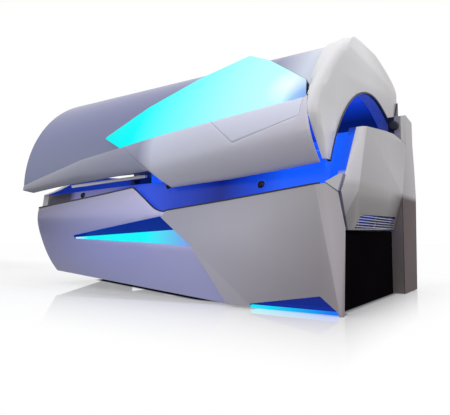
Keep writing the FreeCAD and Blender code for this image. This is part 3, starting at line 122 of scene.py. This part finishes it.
# an output of a shader node, which sums can be written with
class Wire:

    def __init__(self, shader, socket):
        self.shader = shader
        self.socket = socket

    def maths(self, operation, first, second):
        return self.shader.add("ShaderNodeMath", {"operation": operation}, {0: first, 1: second})

    def __add__(self, other):
        return self.maths("ADD", self, other)

    def __radd__(self, other):
        return self.maths("ADD", other, self)

    def __sub__(self, other):
        return self.maths("SUBTRACT", self, other)

    def __rsub__(self, other):
        return self.maths("SUBTRACT", other, self)

    def __mul__(self, other):
        return self.maths("MULTIPLY", self, other)

    def __rmul__(self, other):
        return self.maths("MULTIPLY", other, self)

    def __pow__(self, other):
        return self.maths("POWER", self, other)

    def __rpow__(self, other):
        return self.maths("POWER", other, self)

    def atLeast(self, other):
        return self.maths("MAXIMUM", self, other)


# the nodes of a material or of the room's own light
class Nodes:

    def __init__(self, tree):
        self.tree = tree

    def add(self, kind, settings, sockets, output=0):
        node = self.tree.nodes.new(kind)
        for key, value in settings.items():
            if key == "stops":
                self.setStops(node.color_ramp, value)
            else:
                setattr(node, key, value)
        for key, value in sockets.items():
            self.feed(node.inputs[key], value)
        return Wire(self, node.outputs[output])

    def setStops(self, ramp, stops):
        while len(ramp.elements) < len(stops):
            ramp.elements.new(1.0)
        for element, (place, colour) in zip(ramp.elements, stops):
            element.position = place
            element.color = (*colour, 1)

    def feed(self, socket, value):
        if isinstance(value, Wire):
            self.tree.links.new(value.socket, socket)
        elif hasattr(value, "__len__") and len(value) == 3 and socket.type == "RGBA":
            socket.default_value = (*value, 1)
        else:
            socket.default_value = value

    def clamp(self, value, low, high, toLow=0.0, toHigh=1.0):
        return self.add("ShaderNodeMapRange", {"clamp": True}, {
            "Value": value, "From Min": low, "From Max": high, "To Min": toLow, "To Max": toHigh})


# a material under construction
class Shader(Nodes):

    def __init__(self, name):
        self.material = bpy.data.materials.new(name)
        self.material.use_nodes = True
        super().__init__(self.material.node_tree)
        self.surface = self.tree.nodes["Principled BSDF"]

    def place(self):
        return self.add("ShaderNodeTexCoord", {}, {}, "Object")

    def axes(self, names):
        place = self.place()
        return [self.add("ShaderNodeSeparateXYZ", {}, {0: place}, name) for name in names]

    def noise(self, scale, detail, stretch=(1, 1, 1)):
        where = self.add("ShaderNodeMapping", {}, {"Vector": self.place(), "Scale": stretch})
        return self.add("ShaderNodeTexNoise", {}, {"Vector": where, "Scale": scale, "Detail": detail}, "Fac")

    def blend(self, share, low, high):
        return self.add("ShaderNodeMix", {"data_type": "RGBA"}, {0: share, 6: low, 7: high}, 2)

    def mixShaders(self, share, first, second):
        return self.add("ShaderNodeMixShader", {}, {0: share, 1: first, 2: second})

    def scaled(self, colour, share):
        return self.add("ShaderNodeVectorMath", {"operation": "SCALE"}, {0: colour, "Scale": share})

    # a colour that runs from one end of the part to the other, and from its low edge to its high edge
    def corners(self, spanX, spanZ, lows, highs):
        x, z = self.axes("XZ")
        along = self.clamp(x, *spanX)
        up = self.clamp(z, *spanZ)
        return self.blend(up, self.blend(along, *lows), self.blend(along, *highs))

    # one colour after another along a value that runs from 0 to 1
    def ramp(self, along, stops):
        return self.add("ShaderNodeValToRGB", {"stops": stops}, {"Fac": along}, "Color")

    def bump(self, height, strength, distance):
        return self.add("ShaderNodeBump", {}, {"Height": height, "Strength": strength, "Distance": distance})

    def set(self, **values):
        for key, value in values.items():
            self.feed(self.surface.inputs[key.replace("_", " ")], value)
        return self.material


lacquerGrain = {
    "flakes": 1400,     # noise scales
    "patches": 2.2,
    "peel": 240,
    "peelDepth": 0.0004,
    "patchRough": 0.06,
    "coatRough": 0.12,
}


class Lacquer(Shader):

    def __init__(self, name):
        super().__init__(name)
        self.flakes = self.noise(lacquerGrain["flakes"], 1)
        self.patches = self.noise(lacquerGrain["patches"], 3)

    def flaked(self, dark, light):
        return self.blend(self.flakes * 0.5 + self.patches * 0.5, dark, light)

    def coated(self, colour, metal, rough, coat, **glow):
        peel = self.noise(lacquerGrain["peel"], 2)
        return self.set(
            Base_Color=colour, Metallic=metal, Roughness=self.patches * lacquerGrain["patchRough"] + rough,
            Coat_Weight=coat, Coat_Roughness=lacquerGrain["coatRough"],
            Normal=self.bump(peel, 0.05, lacquerGrain["peelDepth"]), **glow)


def metallicLacquer(name, dark, light, metal, rough):
    lacquer = Lacquer(name)
    return lacquer.coated(lacquer.flaked(dark, light), metal, rough, 0.35)


# the head cap: paler low down in painted light, duller towards the rear in painted shade
def capLacquer(name):
    lacquer = Lacquer(name)
    y, z = lacquer.axes("YZ")
    colour = lacquer.flaked((0.62, 0.62, 0.65), (0.70, 0.69, 0.72))
    # painted light: paler low down
    colour = lacquer.blend(lacquer.clamp(z, 0.70, 0.95, 0.8, 0.0), colour, (0.95, 0.94, 0.98))
    # painted shade: duller towards the rear
    colour = lacquer.blend(lacquer.clamp(y, 0.05, 0.50), colour, (0.50, 0.48, 0.50))
    return lacquer.coated(colour, 0.15, 0.35, 0.3)


# lacquer with painted light and shade drifting over the part, and a painted glow for the light from the
# glowing parts next to it
def paintedShadeLacquer(name, look):
    lacquer = Lacquer(name)
    x, z = lacquer.axes("XZ")
    # painted light and shade: one shade at each corner of the part
    colour = lacquer.corners(look["spanX"], look["spanZ"], look["lows"], look["highs"])
    colour = lacquer.scaled(colour, lacquer.flakes * 0.06 + lacquer.patches * 0.06 + 0.94)
    # a painted streak: a highlight on the roof, shade on the front's main panel
    if "streak" in look:
        start, end, shade = look["streak"]
        colour = lacquer.blend(lacquer.clamp(x, start, end), colour, shade)
    glow = {}
    if "spill" in look:
        # painted glow: emission for the light spilled from the glowing parts next to it, dimming with
        # distance
        place, reach, light = look["spill"]
        apart = (x - place[0]) * (1 / reach[0])
        above = (z - place[1]) * (1 / reach[1])
        distance = (apart * apart + above * above) ** 0.5
        glow["Emission_Color"] = lacquer.scaled(light, lacquer.clamp(distance, 0, 1, 1, 0))
        glow["Emission_Strength"] = 1.0
    return lacquer.coated(colour, look["metal"], look["rough"], 0.3, **glow)


coverLook = {
    "bevelFoot": (-0.49, 0.54),     # y and z where the painted highlight on the pale bevel starts
    "bevelSlope": 0.44,
    "crease": (0.555, 0.59),        # z, painted shade below
    "rear": (0.05, 0.33),           # y over which the shade sets in
    "wallX": (1.186, 1.191),        # the wall on the tunnel's side ends here
    "wallY": (-0.12, -0.05),
    "wallZ": (0.60, 0.63),
    "unlitZ": (0.80, 0.86),         # the wall is unlit above
}


# the head end cover: a pale bevel along its front edge as a painted highlight, painted shade below its
# crease, and a painted blue glow where it faces the tunnel
def coverLacquer(name):
    lacquer = Lacquer(name)
    x, y, z = lacquer.axes("XYZ")
    colour = lacquer.flaked((0.41, 0.40, 0.42), (0.46, 0.445, 0.47))
    footY, footZ = coverLook["bevelFoot"]
    edge = (z - footZ) * coverLook["bevelSlope"] + footY
    # painted highlight: the bevel is paler
    colour = lacquer.blend(lacquer.clamp(edge - y, -0.002, 0.003), colour, (0.62, 0.61, 0.65))
    # painted shade: darker below the crease and towards the rear
    below = lacquer.clamp(z, *coverLook["crease"], 1.0, 0.0)
    rear = lacquer.clamp(y, *coverLook["rear"])
    colour = lacquer.blend(below * rear, colour, (0.16, 0.125, 0.127))
    colour = lacquer.blend(rear * (1.0 - below) * 0.5, colour, (0.30, 0.285, 0.30))
    colour = lacquer.blend(below * (1.0 - rear) * 0.35, colour, (0.26, 0.22, 0.22))
    # the wall facing the tunnel: dark navy with a painted blue glow, unlit above
    wall = lacquer.clamp(x, *coverLook["wallX"], 1.0, 0.0) * lacquer.clamp(y, *coverLook["wallY"], 1.0, 0.0)
    wall = wall * lacquer.clamp(z, *coverLook["wallZ"])
    colour = lacquer.blend(wall, colour, (0.004, 0.02, 0.12))
    light = lacquer.blend(lacquer.clamp(z, *coverLook["unlitZ"]), (0.006, 0.085, 0.80), (0.0, 0.004, 0.06))
    return lacquer.coated(
        colour, 0.35, wall * 0.55 + below * rear * 0.3 + 0.36, (1.0 - wall) * (1.0 - below * rear) * 0.25,
        Emission_Color=lacquer.blend(wall, (0, 0, 0), light), Emission_Strength=1.0)


fairingShade = (1.183, 1.187)   # x where its end starts


# the fairing between the right panel and the cover, in shade along its end
def fairingLacquer(name):
    lacquer = Lacquer(name)
    (x,) = lacquer.axes("X")
    colour = lacquer.flaked((0.36, 0.355, 0.375), (0.44, 0.435, 0.46))
    colour = lacquer.blend(lacquer.clamp(x, *fairingShade), colour, (0.13, 0.12, 0.22))
    return lacquer.coated(colour, 0.45, 0.34, 0.2)


towerLook = {
    "frontY": (0.318, 0.322),       # the unlit front lies before this,
    "frontX": (1.189, 1.192),       # on the tunnel's side of this,
    "frontZ": (0.86, 0.89),         # and above this
}


# the rear tower: darker below the crease in painted shade, and painted dark where its front faces the tunnel,
# which is unlit
def towerLacquer(name):
    lacquer = Lacquer(name)
    x, y, z = lacquer.axes("XYZ")
    colour = lacquer.flaked((0.30, 0.285, 0.30), (0.35, 0.335, 0.35))
    # painted shade below the crease
    below = lacquer.clamp(z, *coverLook["crease"], 1.0, 0.0)
    colour = lacquer.blend(below, colour, (0.25, 0.22, 0.222))
    front = lacquer.clamp(y, *towerLook["frontY"], 1.0, 0.0)
    front = front * lacquer.clamp(x, *towerLook["frontX"], 1.0, 0.0) * lacquer.clamp(z, *towerLook["frontZ"])
    colour = lacquer.blend(front, colour, (0.004, 0.004, 0.012))
    return lacquer.coated(colour, 0.35, 0.38, 0.2)


# plastic with light behind it: the light is cloudy, from its dimmest share up by the drift
def lightThrough(shader, colour, base, rough, gloss, dimmest, drift, cloudy=(5, 3)):
    cloud = shader.noise(*cloudy)
    return shader.set(
        Base_Color=base, Roughness=cloud * 0.05 + rough, Specular_IOR_Level=gloss,
        Emission_Color=shader.scaled(colour, cloud * drift + dimmest), Emission_Strength=1.0)


# the blue strips beside the lying surface, darkest in the middle of the bed
def sillLight(name):
    shader = Shader(name)
    (x,) = shader.axes("X")
    colour = shader.ramp(shader.clamp(x, -1.03, 1.13), [
        (0.0, (0.02, 0.075, 0.66)), (0.5, (0.02, 0.07, 0.64)), (0.62, (0.012, 0.04, 0.42)),
        (0.74, (0.002, 0.01, 0.19)), (0.84, (0.004, 0.05, 0.6)), (0.9, (0.006, 0.10, 0.96)),
        (1.0, (0.006, 0.10, 0.96))])
    return lightThrough(shader, colour, (0.004, 0.01, 0.06), 0.3, 0.2, 0.9, 0.2)


# the foot strip: unlit at its end, a pale patch as a painted reflection of the lid's panel, then blue
def footSillLight(name):
    shader = Shader(name)
    (x,) = shader.axes("X")
    colour = shader.ramp(shader.clamp(x, -1.03, 0.0), [
        (0.0, (0.008, 0.006, 0.012)), (0.27, (0.02, 0.015, 0.035)), (0.34, (0.14, 0.14, 0.32)),
        (0.68, (0.13, 0.13, 0.32)), (0.9, (0.03, 0.06, 0.5)), (1.0, (0.02, 0.07, 0.64))])
    return lightThrough(shader, colour, (0.012, 0.01, 0.02), 0.3, 0.2, 0.9, 0.2)


# the lamp cover behind the right panel's slot, cyan at its foot end and deeper blue at its head end
def lensLight(name):
    shader = Shader(name)
    (x,) = shader.axes("X")
    colour = shader.blend(shader.clamp(x, 0.80, 1.16), (0.01, 0.80, 0.95), (0.01, 0.17, 0.87))
    return lightThrough(shader, colour, (0.0, 0.03, 0.06), 0.3, 0.1, 0.92, 0.12)


# the lamp covers inside: deep blue, and nearly dark high up on the lid's hinge side
def innerAcrylic(name):
    shader = Shader(name)
    y, z = shader.axes("YZ")
    hinge = shader.clamp(y, 0.12, 0.42) * shader.clamp(z, 0.85, 1.0)
    colour = shader.blend(hinge, (0.006, 0.04, 0.55), (0.001, 0.004, 0.05))
    base = shader.blend(hinge, (0.01, 0.03, 0.2), (0.002, 0.006, 0.03))
    return lightThrough(shader, colour, base, 0.14, 0.25, 0.85, 0.3)


# gloss tray with a painted glow for the light from its ledge
def glowingTray(name, glow):
    return lightThrough(Shader(name), glow, (0.001, 0.005, 0.03), 0.2, 0.12, 0.8, 0.4, (6, 2))


# the long slot's ledge, in painted light from the lamps in the slot: pale at its foot tip, cyan, then bluer
# towards its head end
def ledgeLight(name):
    shader = Shader(name)
    (x,) = shader.axes("X")
    colour = shader.blend(shader.clamp(x, 0.05, 0.4), (0.008, 0.93, 0.95), (0.22, 0.30, 0.85))
    colour = shader.blend(shader.clamp(x, -0.645, -0.5, 0.75, 0.0), colour, (0.85, 0.75, 0.95))
    return lightThrough(shader, colour, (0.0, 0.05, 0.06), 0.35, 0.1, 0.92, 0.12)


def litPlastic(name, colour, glow, strength, rough):
    shader = Shader(name)
    cloud = shader.noise(5, 3)
    deeper = [value * 0.8 for value in glow]
    return shader.set(
        Base_Color=colour, Roughness=rough + cloud * 0.05,
        Emission_Color=shader.blend(cloud, deeper, glow), Emission_Strength=strength)


finLook = {
    "span": (-0.37, 1.05),      # x over which its colours run
    "hotSpot": (0.93, 1.055),   # x and z of the brightest place
    "spotSpan": (9.0, 8.0),     # how fast it dims along x and z
}


# translucent cover: cyan at the foot, whiter towards a lamp near its head end, violet along its end edge as
# the painted shade of its side
def finGlow():
    shader = Shader("finGlow")
    x, z = shader.axes("XZ")
    colour = shader.ramp(shader.clamp(x, *finLook["span"]), [
        (0.0, (0.0, 0.88, 0.86)), (0.2, (0.0, 0.95, 0.96)), (0.5, (0.24, 0.96, 1.0)),
        (0.75, (0.48, 0.97, 1.0)), (0.92, (0.60, 0.97, 1.0)), (0.955, (0.36, 0.62, 0.93)),
        (1.0, (0.28, 0.42, 0.88))])
    apart = (x - finLook["hotSpot"][0]) * finLook["spotSpan"][0]
    above = (z - finLook["hotSpot"][1]) * finLook["spotSpan"][1]
    distance = (apart * apart + above * above) ** 0.5
    colour = shader.blend(shader.clamp(distance, 0, 1, 0.8, 0), colour, (1, 1, 1))
    cloud = shader.noise(3, 2)
    return shader.set(
        Base_Color=(0.0, 0.03, 0.035), Roughness=cloud * 0.1 + 0.5, Specular_IOR_Level=0.04,
        Emission_Color=colour, Emission_Strength=0.98)


def plainPlastic(name, colour, rough):
    shader = Shader(name)
    pits = shader.noise(900, 3)
    worn = shader.noise(4, 3)
    lighter = [value * 1.25 + 0.004 for value in colour]
    return shader.set(
        Base_Color=shader.blend(worn, colour, lighter), Roughness=rough + worn * 0.1,
        Normal=shader.bump(pits, 0.15, 0.0003))


def matteBlack(name):
    shader = Shader(name)
    pits = shader.noise(900, 3)
    worn = shader.noise(3, 3)
    colour = shader.blend(worn, (0.003, 0.0025, 0.003), (0.008, 0.006, 0.008))
    return shader.set(
        Base_Color=colour, Roughness=0.6 + worn * 0.1, Specular_IOR_Level=0.0,
        Normal=shader.bump(pits, 0.15, 0.0003))


def paintedSteel(name, colour, rough):
    shader = Shader(name)
    texture = shader.noise(600, 3)
    lighter = [value * 1.2 for value in colour]
    return shader.set(
        Base_Color=shader.blend(texture, colour, lighter), Metallic=0.3, Roughness=rough + texture * 0.12,
        Normal=shader.bump(texture, 0.2, 0.0004))


def turnedSteel(name, colour, rough):
    shader = Shader(name)
    lines = shader.noise(60, 2, (40, 1, 1))
    lighter = [min(1, value * 1.2) for value in colour]
    return shader.set(
        Base_Color=shader.blend(lines, colour, lighter), Metallic=1.0, Roughness=rough + lines * 0.15,
        Normal=shader.bump(lines, 0.1, 0.0002))


roomLooks = {
    "floorSize": 60,
    "ambient": 0.42,
    "bounced": 0.4,         # how bright the floor is in mirror-like surfaces
    "mirrorShare": 0.42,
    "mirrorRough": 0.03,
    "mirrorTint": (0.97, 0.97, 0.98),
    "mirrorFront": -0.62,   # y where the reflection starts to fade
    "mirrorHead": 1.2,      # x where it starts to fade at the head end
    "mirrorHeadFade": 3.0,  # how much faster it fades there
    "mirrorReach": 0.85,
    "mirrorPower": 1.2,
    "shadowRear": 0.65,     # y where the shadow starts behind the bed
    "shadowReach": 1.1,     # distance from the bed over which its shadow dies out
    "shadowLit": 0.55,      # how much of the plain white is left right beside the bed
    "underX": (-1.03, 1.17),    # painted shadow: dark floor below the bed, from foot to head
    "underY": (-0.55, 0.6),     # and from front to rear
    "underLine": (-0.425, -0.377),  # and behind this line: its y at x = 0, and its slope
    "underSoft": 0.02,
    "underRearSoft": 0.05,
    "underLineSoft": 0.03,
    # the colour of the painted shadow below the bed
    "under": (0.02, 0.02, 0.024),
    "plain": (0.9, 0.9, 0.91),
    "dull": (0.12, 0.12, 0.12),     # what the floor throws back at the bed
    "white": (1, 1, 1),
}


# painted shadow: the share of the floor below the bed that is painted dark
def paintedShadowBelowBed(shader, x, y):
    foot, head = roomLooks["underX"]
    front, rear = roomLooks["underY"]
    lineY, slope = roomLooks["underLine"]
    soft = roomLooks["underSoft"]
    under = shader.clamp(x, foot - soft, foot + soft) * shader.clamp(x, head - soft, head + soft, 1.0, 0.0)
    under = under * shader.clamp(y, front - soft, front + soft)
    under = under * shader.clamp(y, rear, rear + roomLooks["underRearSoft"], 1.0, 0.0)
    return under * shader.clamp(y - x * slope, lineY, lineY + roomLooks["underLineSoft"])


# white for the lens, dim for light that bounces, with a mirror that fades away from the bed and a painted
# shadow below it
def roomFloor():
    shader = Shader("roomFloor")
    x, y = shader.axes("XY")
    ahead = roomLooks["mirrorFront"] - y
    beside = (x - roomLooks["mirrorHead"]) * roomLooks["mirrorHeadFade"]
    distance = ahead.atLeast(beside)
    around = distance.atLeast(y - roomLooks["shadowRear"])
    nearness = shader.clamp(distance, 0.0, roomLooks["mirrorReach"], 1.0, 0.0)
    lit = shader.clamp(around, 0.0, roomLooks["shadowReach"], roomLooks["shadowLit"], 1.0)
    white = roomLooks["white"]
    mirrorSockets = {"Roughness": roomLooks["mirrorRough"], "Color": roomLooks["mirrorTint"]}
    mirror = shader.add("ShaderNodeBsdfGlossy", {}, mirrorSockets)
    plain = shader.add("ShaderNodeBsdfDiffuse", {}, {"Color": roomLooks["plain"]})
    dull = shader.add("ShaderNodeBsdfDiffuse", {}, {"Color": roomLooks["dull"]})
    dark = shader.add("ShaderNodeBsdfDiffuse", {}, {"Color": roomLooks["under"]})
    lift = shader.add("ShaderNodeEmission", {}, {"Color": white, "Strength": 1.0})
    grey = shader.add("ShaderNodeEmission", {}, {"Color": white, "Strength": roomLooks["bounced"]})
    seen = shader.mixShaders(lit, plain, lift)
    seen = shader.mixShaders(nearness ** roomLooks["mirrorPower"] * roomLooks["mirrorShare"], seen, mirror)
    # painted shadow below the bed
    seen = shader.mixShaders(paintedShadowBelowBed(shader, x, y), seen, dark)
    bounced = shader.mixShaders(shader.add("ShaderNodeLightPath", {}, {}, "Is Glossy Ray"), dull, grey)
    whole = shader.mixShaders(shader.add("ShaderNodeLightPath", {}, {}, "Is Camera Ray"), bounced, seen)
    shader.feed(shader.tree.nodes["Material Output"].inputs["Surface"], whole)
    return shader.material


def addRoom():
    bpy.ops.mesh.primitive_plane_add(size=roomLooks["floorSize"], location=(0, 0, 0))
    floor = bpy.context.object
    floor.name = "roomFloor"
    floor.data.materials.append(roomFloor())
    world = bpy.data.worlds.new("room")
    world.use_nodes = True
    bpy.context.scene.world = world
    light = Nodes(world.node_tree)
    background = light.tree.nodes["Background"]
    lens = light.add("ShaderNodeLightPath", {}, {}, "Is Camera Ray")
    seen = lens.atLeast(light.add("ShaderNodeLightPath", {}, {}, "Is Glossy Ray"))
    light.feed(background.inputs["Color"], roomLooks["white"])
    light.feed(background.inputs["Strength"], light.clamp(seen, 0.0, 1.0, roomLooks["ambient"], 1.0))
    print("room built")


# by material slot
finishes = {
    "silver": metallicLacquer("silverLacquer", (0.36, 0.355, 0.375), (0.44, 0.435, 0.46), 0.45, 0.34),
    "roof": metallicLacquer("roofLacquer", (0.20, 0.21, 0.33), (0.25, 0.26, 0.39), 0.55, 0.26),
    "cap": capLacquer("capLacquer"),
    "fin": finGlow(),
    "lightbar": litPlastic("lightBar", (0.8, 0.9, 1.0), (0.7, 0.95, 1.0), 1.2, 0.3),
    "acrylic": innerAcrylic("blueAcrylic"),
    "innerblue": litPlastic("blueWall", (0.02, 0.08, 0.5), (0.01, 0.12, 1.0), 0.9, 0.22),
    "reflector": turnedSteel("brightSheet", (0.75, 0.77, 0.8), 0.18),
    "lamp": litPlastic("lampGlass", (0.3, 0.35, 0.6), (0.1, 0.3, 1.0), 1.0, 0.1),
    "holder": plainPlastic("lampHolders", (0.75, 0.75, 0.75), 0.5),
    "seal": plainPlastic("blackSeal", (0.012, 0.012, 0.014), 0.45),
    "darktrim": plainPlastic("darkTrim", (0.03, 0.03, 0.035), 0.4),
    "darkpanel": matteBlack("darkPanel"),
    "frame": paintedSteel("frameCoat", (0.05, 0.055, 0.065), 0.45),
    "steel": turnedSteel("turnedSteel", (0.55, 0.56, 0.58), 0.25),
    "bush": turnedSteel("bronzeBush", (0.5, 0.36, 0.16), 0.35),
    "rearmetal": paintedSteel("rearCoat", (0.34, 0.34, 0.37), 0.42),
    "choke": paintedSteel("chokeVarnish", (0.06, 0.06, 0.07), 0.35),
    "controlbox": paintedSteel("boxCoat", (0.45, 0.46, 0.47), 0.4),
    "nozzle": plainPlastic("nozzleBlack", (0.01, 0.01, 0.014), 0.3),
}


# the big panels, in painted light and shade: spans in metres, painted shades at their foot and head ends
# along the low and high edges, a painted streak of another shade from one x to the next, and a painted glow
# of spilled light with its place and reach in x and z
panelLooks = {
    "canopy_roof": {
        "spanX": (-1.2, 0.98), "spanZ": (0.85, 1.42), "metal": 0.5, "rough": 0.3,
        "lows": ((0.18, 0.20, 0.34), (0.20, 0.21, 0.30)), "highs": ((0.09, 0.10, 0.30), (0.10, 0.11, 0.31)),
        # painted highlight towards the head cap
        "streak": (0.72, 0.93, (0.55, 0.60, 0.72)),
    },
    "canopy_front_foot": {
        "spanX": (-1.2, 0.1), "spanZ": (0.66, 0.86), "metal": 0.4, "rough": 0.34,
        "lows": ((0.28, 0.28, 0.34), (0.23, 0.24, 0.36)), "highs": ((0.29, 0.29, 0.35), (0.23, 0.24, 0.35)),
    },
    "canopy_front_main": {
        "spanX": (-0.1, 1.1), "spanZ": (0.64, 0.92), "metal": 0.3, "rough": 0.34,
        "lows": ((0.62, 0.63, 0.78), (0.62, 0.59, 0.66)), "highs": ((0.50, 0.56, 0.72), (0.64, 0.63, 0.74)),
        # painted shade towards its foot end
        "streak": (0.13, 0.02, (0.26, 0.27, 0.40)),
    },
    "canopy_badge_panel": {
        "spanX": (0.52, 1.05), "spanZ": (0.80, 0.95), "metal": 0.3, "rough": 0.34,
        "lows": ((0.60, 0.62, 0.76), (0.66, 0.68, 0.82)), "highs": ((0.60, 0.62, 0.76), (0.68, 0.70, 0.84)),
    },
    "front_panel_foot": {
        "spanX": (-1.05, 0.6), "spanZ": (0.05, 0.58), "metal": 0.4, "rough": 0.34,
        # painted shade high at its foot end, painted blue light on the rest
        "lows": ((0.62, 0.62, 1.0), (0.56, 0.57, 1.0)), "highs": ((0.11, 0.10, 0.16), (0.74, 0.72, 1.0)),
        # painted glow spilled from the slot
        "spill": ((-0.30, 0.32), (0.95, 0.34), (0.02, 0.035, 0.17)),
    },
    "front_panel_head": {
        "spanX": (0.25, 1.2), "spanZ": (0.05, 0.54), "metal": 0.4, "rough": 0.34,
        "lows": ((0.52, 0.52, 0.64), (0.42, 0.38, 0.42)), "highs": ((0.40, 0.40, 0.51), (0.37, 0.35, 0.37)),
        # painted glow spilled from the lower lamp
        "spill": ((0.75, 0.34), (0.45, 0.30), (0.07, 0.07, 0.075)),
    },
}


# single nodes with a finish of their own
ownFinishes = {
    "head_end_cover": coverLacquer("coverLacquer"),
    "rear_tower_head": towerLacquer("towerLacquer"),
    "corner_fairing": fairingLacquer("fairingLacquer"),
    "sill_glow": sillLight("sillGlow"),
    "sill_foot": footSillLight("sillFoot"),
    "lower_light_lens": lensLight("lowerLens"),
    "light_recess": glowingTray("slotTray", (0.0, 0.02, 0.24)),
    "lower_light_housing": glowingTray("lowerTray", (0.006, 0.02, 0.22)),
    "light_ledge": ledgeLight("slotLedge"),
}
print("finishes made")


def finishOf(part):
    name = part["node"]
    if name in panelLooks:
        return paintedShadeLacquer(name + "_lacquer", panelLooks[name])
    if name in ownFinishes:
        return ownFinishes[name]
    return finishes[part["material_slot"]]


def dressNodes():
    for part in frame["record"]["subparts"]:
        finish = finishOf(part)
        for slot in frame["nodes"][part["node"]].material_slots:
            slot.material = finish
    print("nodes dressed")


# node: edge radius in millimetres
softened = {
    "canopy_roof": 1.6,
    "canopy_foot_cap": 1.6,
    "canopy_head_cap": 1.6,
    "canopy_front_foot": 1.6,
    "canopy_front_main": 1.6,
    "canopy_badge_panel": 1.2,
    "front_panel_foot": 1.6,
    "front_panel_head": 1.6,
    "head_end_cover": 1.8,
    "rear_tower_head": 1.8,
    "foot_end_cover": 1.8,
    "corner_fairing": 1.2,
    "light_fin": 1.6,
    "sill_glow": 1.2,
    "sill_foot": 1.2,
}
softening = {
    "weld": 0.02,       # millimetres
    "flatAngle": 0.4,   # degrees: faces nearer to flat than this are joined
    "edgeAngle": 28,    # edges sharper than this are rounded
    "smoothAngle": 24,
    "segments": 2,
}


def softenedCopy(node, radius):
    pickOnly(frame["nodes"][node])
    bpy.ops.object.duplicate()
    piece = bpy.context.object
    piece.name = node + "_shell"
    body = piece["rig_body"]
    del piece["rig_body"]
    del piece["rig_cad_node"]
    bpy.ops.object.parent_clear(type="CLEAR_KEEP_TRANSFORM")
    bpy.ops.object.mode_set(mode="EDIT")
    bpy.ops.mesh.select_all(action="SELECT")
    bpy.ops.mesh.remove_doubles(threshold=softening["weld"] * mm)
    bpy.ops.mesh.dissolve_limited(angle_limit=math.radians(softening["flatAngle"]))
    bpy.ops.object.mode_set(mode="OBJECT")
    bevel = piece.modifiers.new("edges", "BEVEL")
    bevel.limit_method = "ANGLE"
    bevel.angle_limit = math.radians(softening["edgeAngle"])
    bevel.width = radius * mm
    bevel.segments = softening["segments"]
    bpy.ops.object.modifier_apply(modifier="edges")
    bpy.ops.object.shade_smooth_by_angle(angle=math.radians(softening["smoothAngle"]))
    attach(piece, body)
    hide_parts(node)
    return piece


def softenCasing():
    for node, radius in softened.items():
        piece = softenedCopy(node, radius)
    print("casing softened")


bpy.context.scene.view_settings.view_transform = "Standard"
addCamera()
addLamps()
addRoom()
dressNodes()
softenCasing()
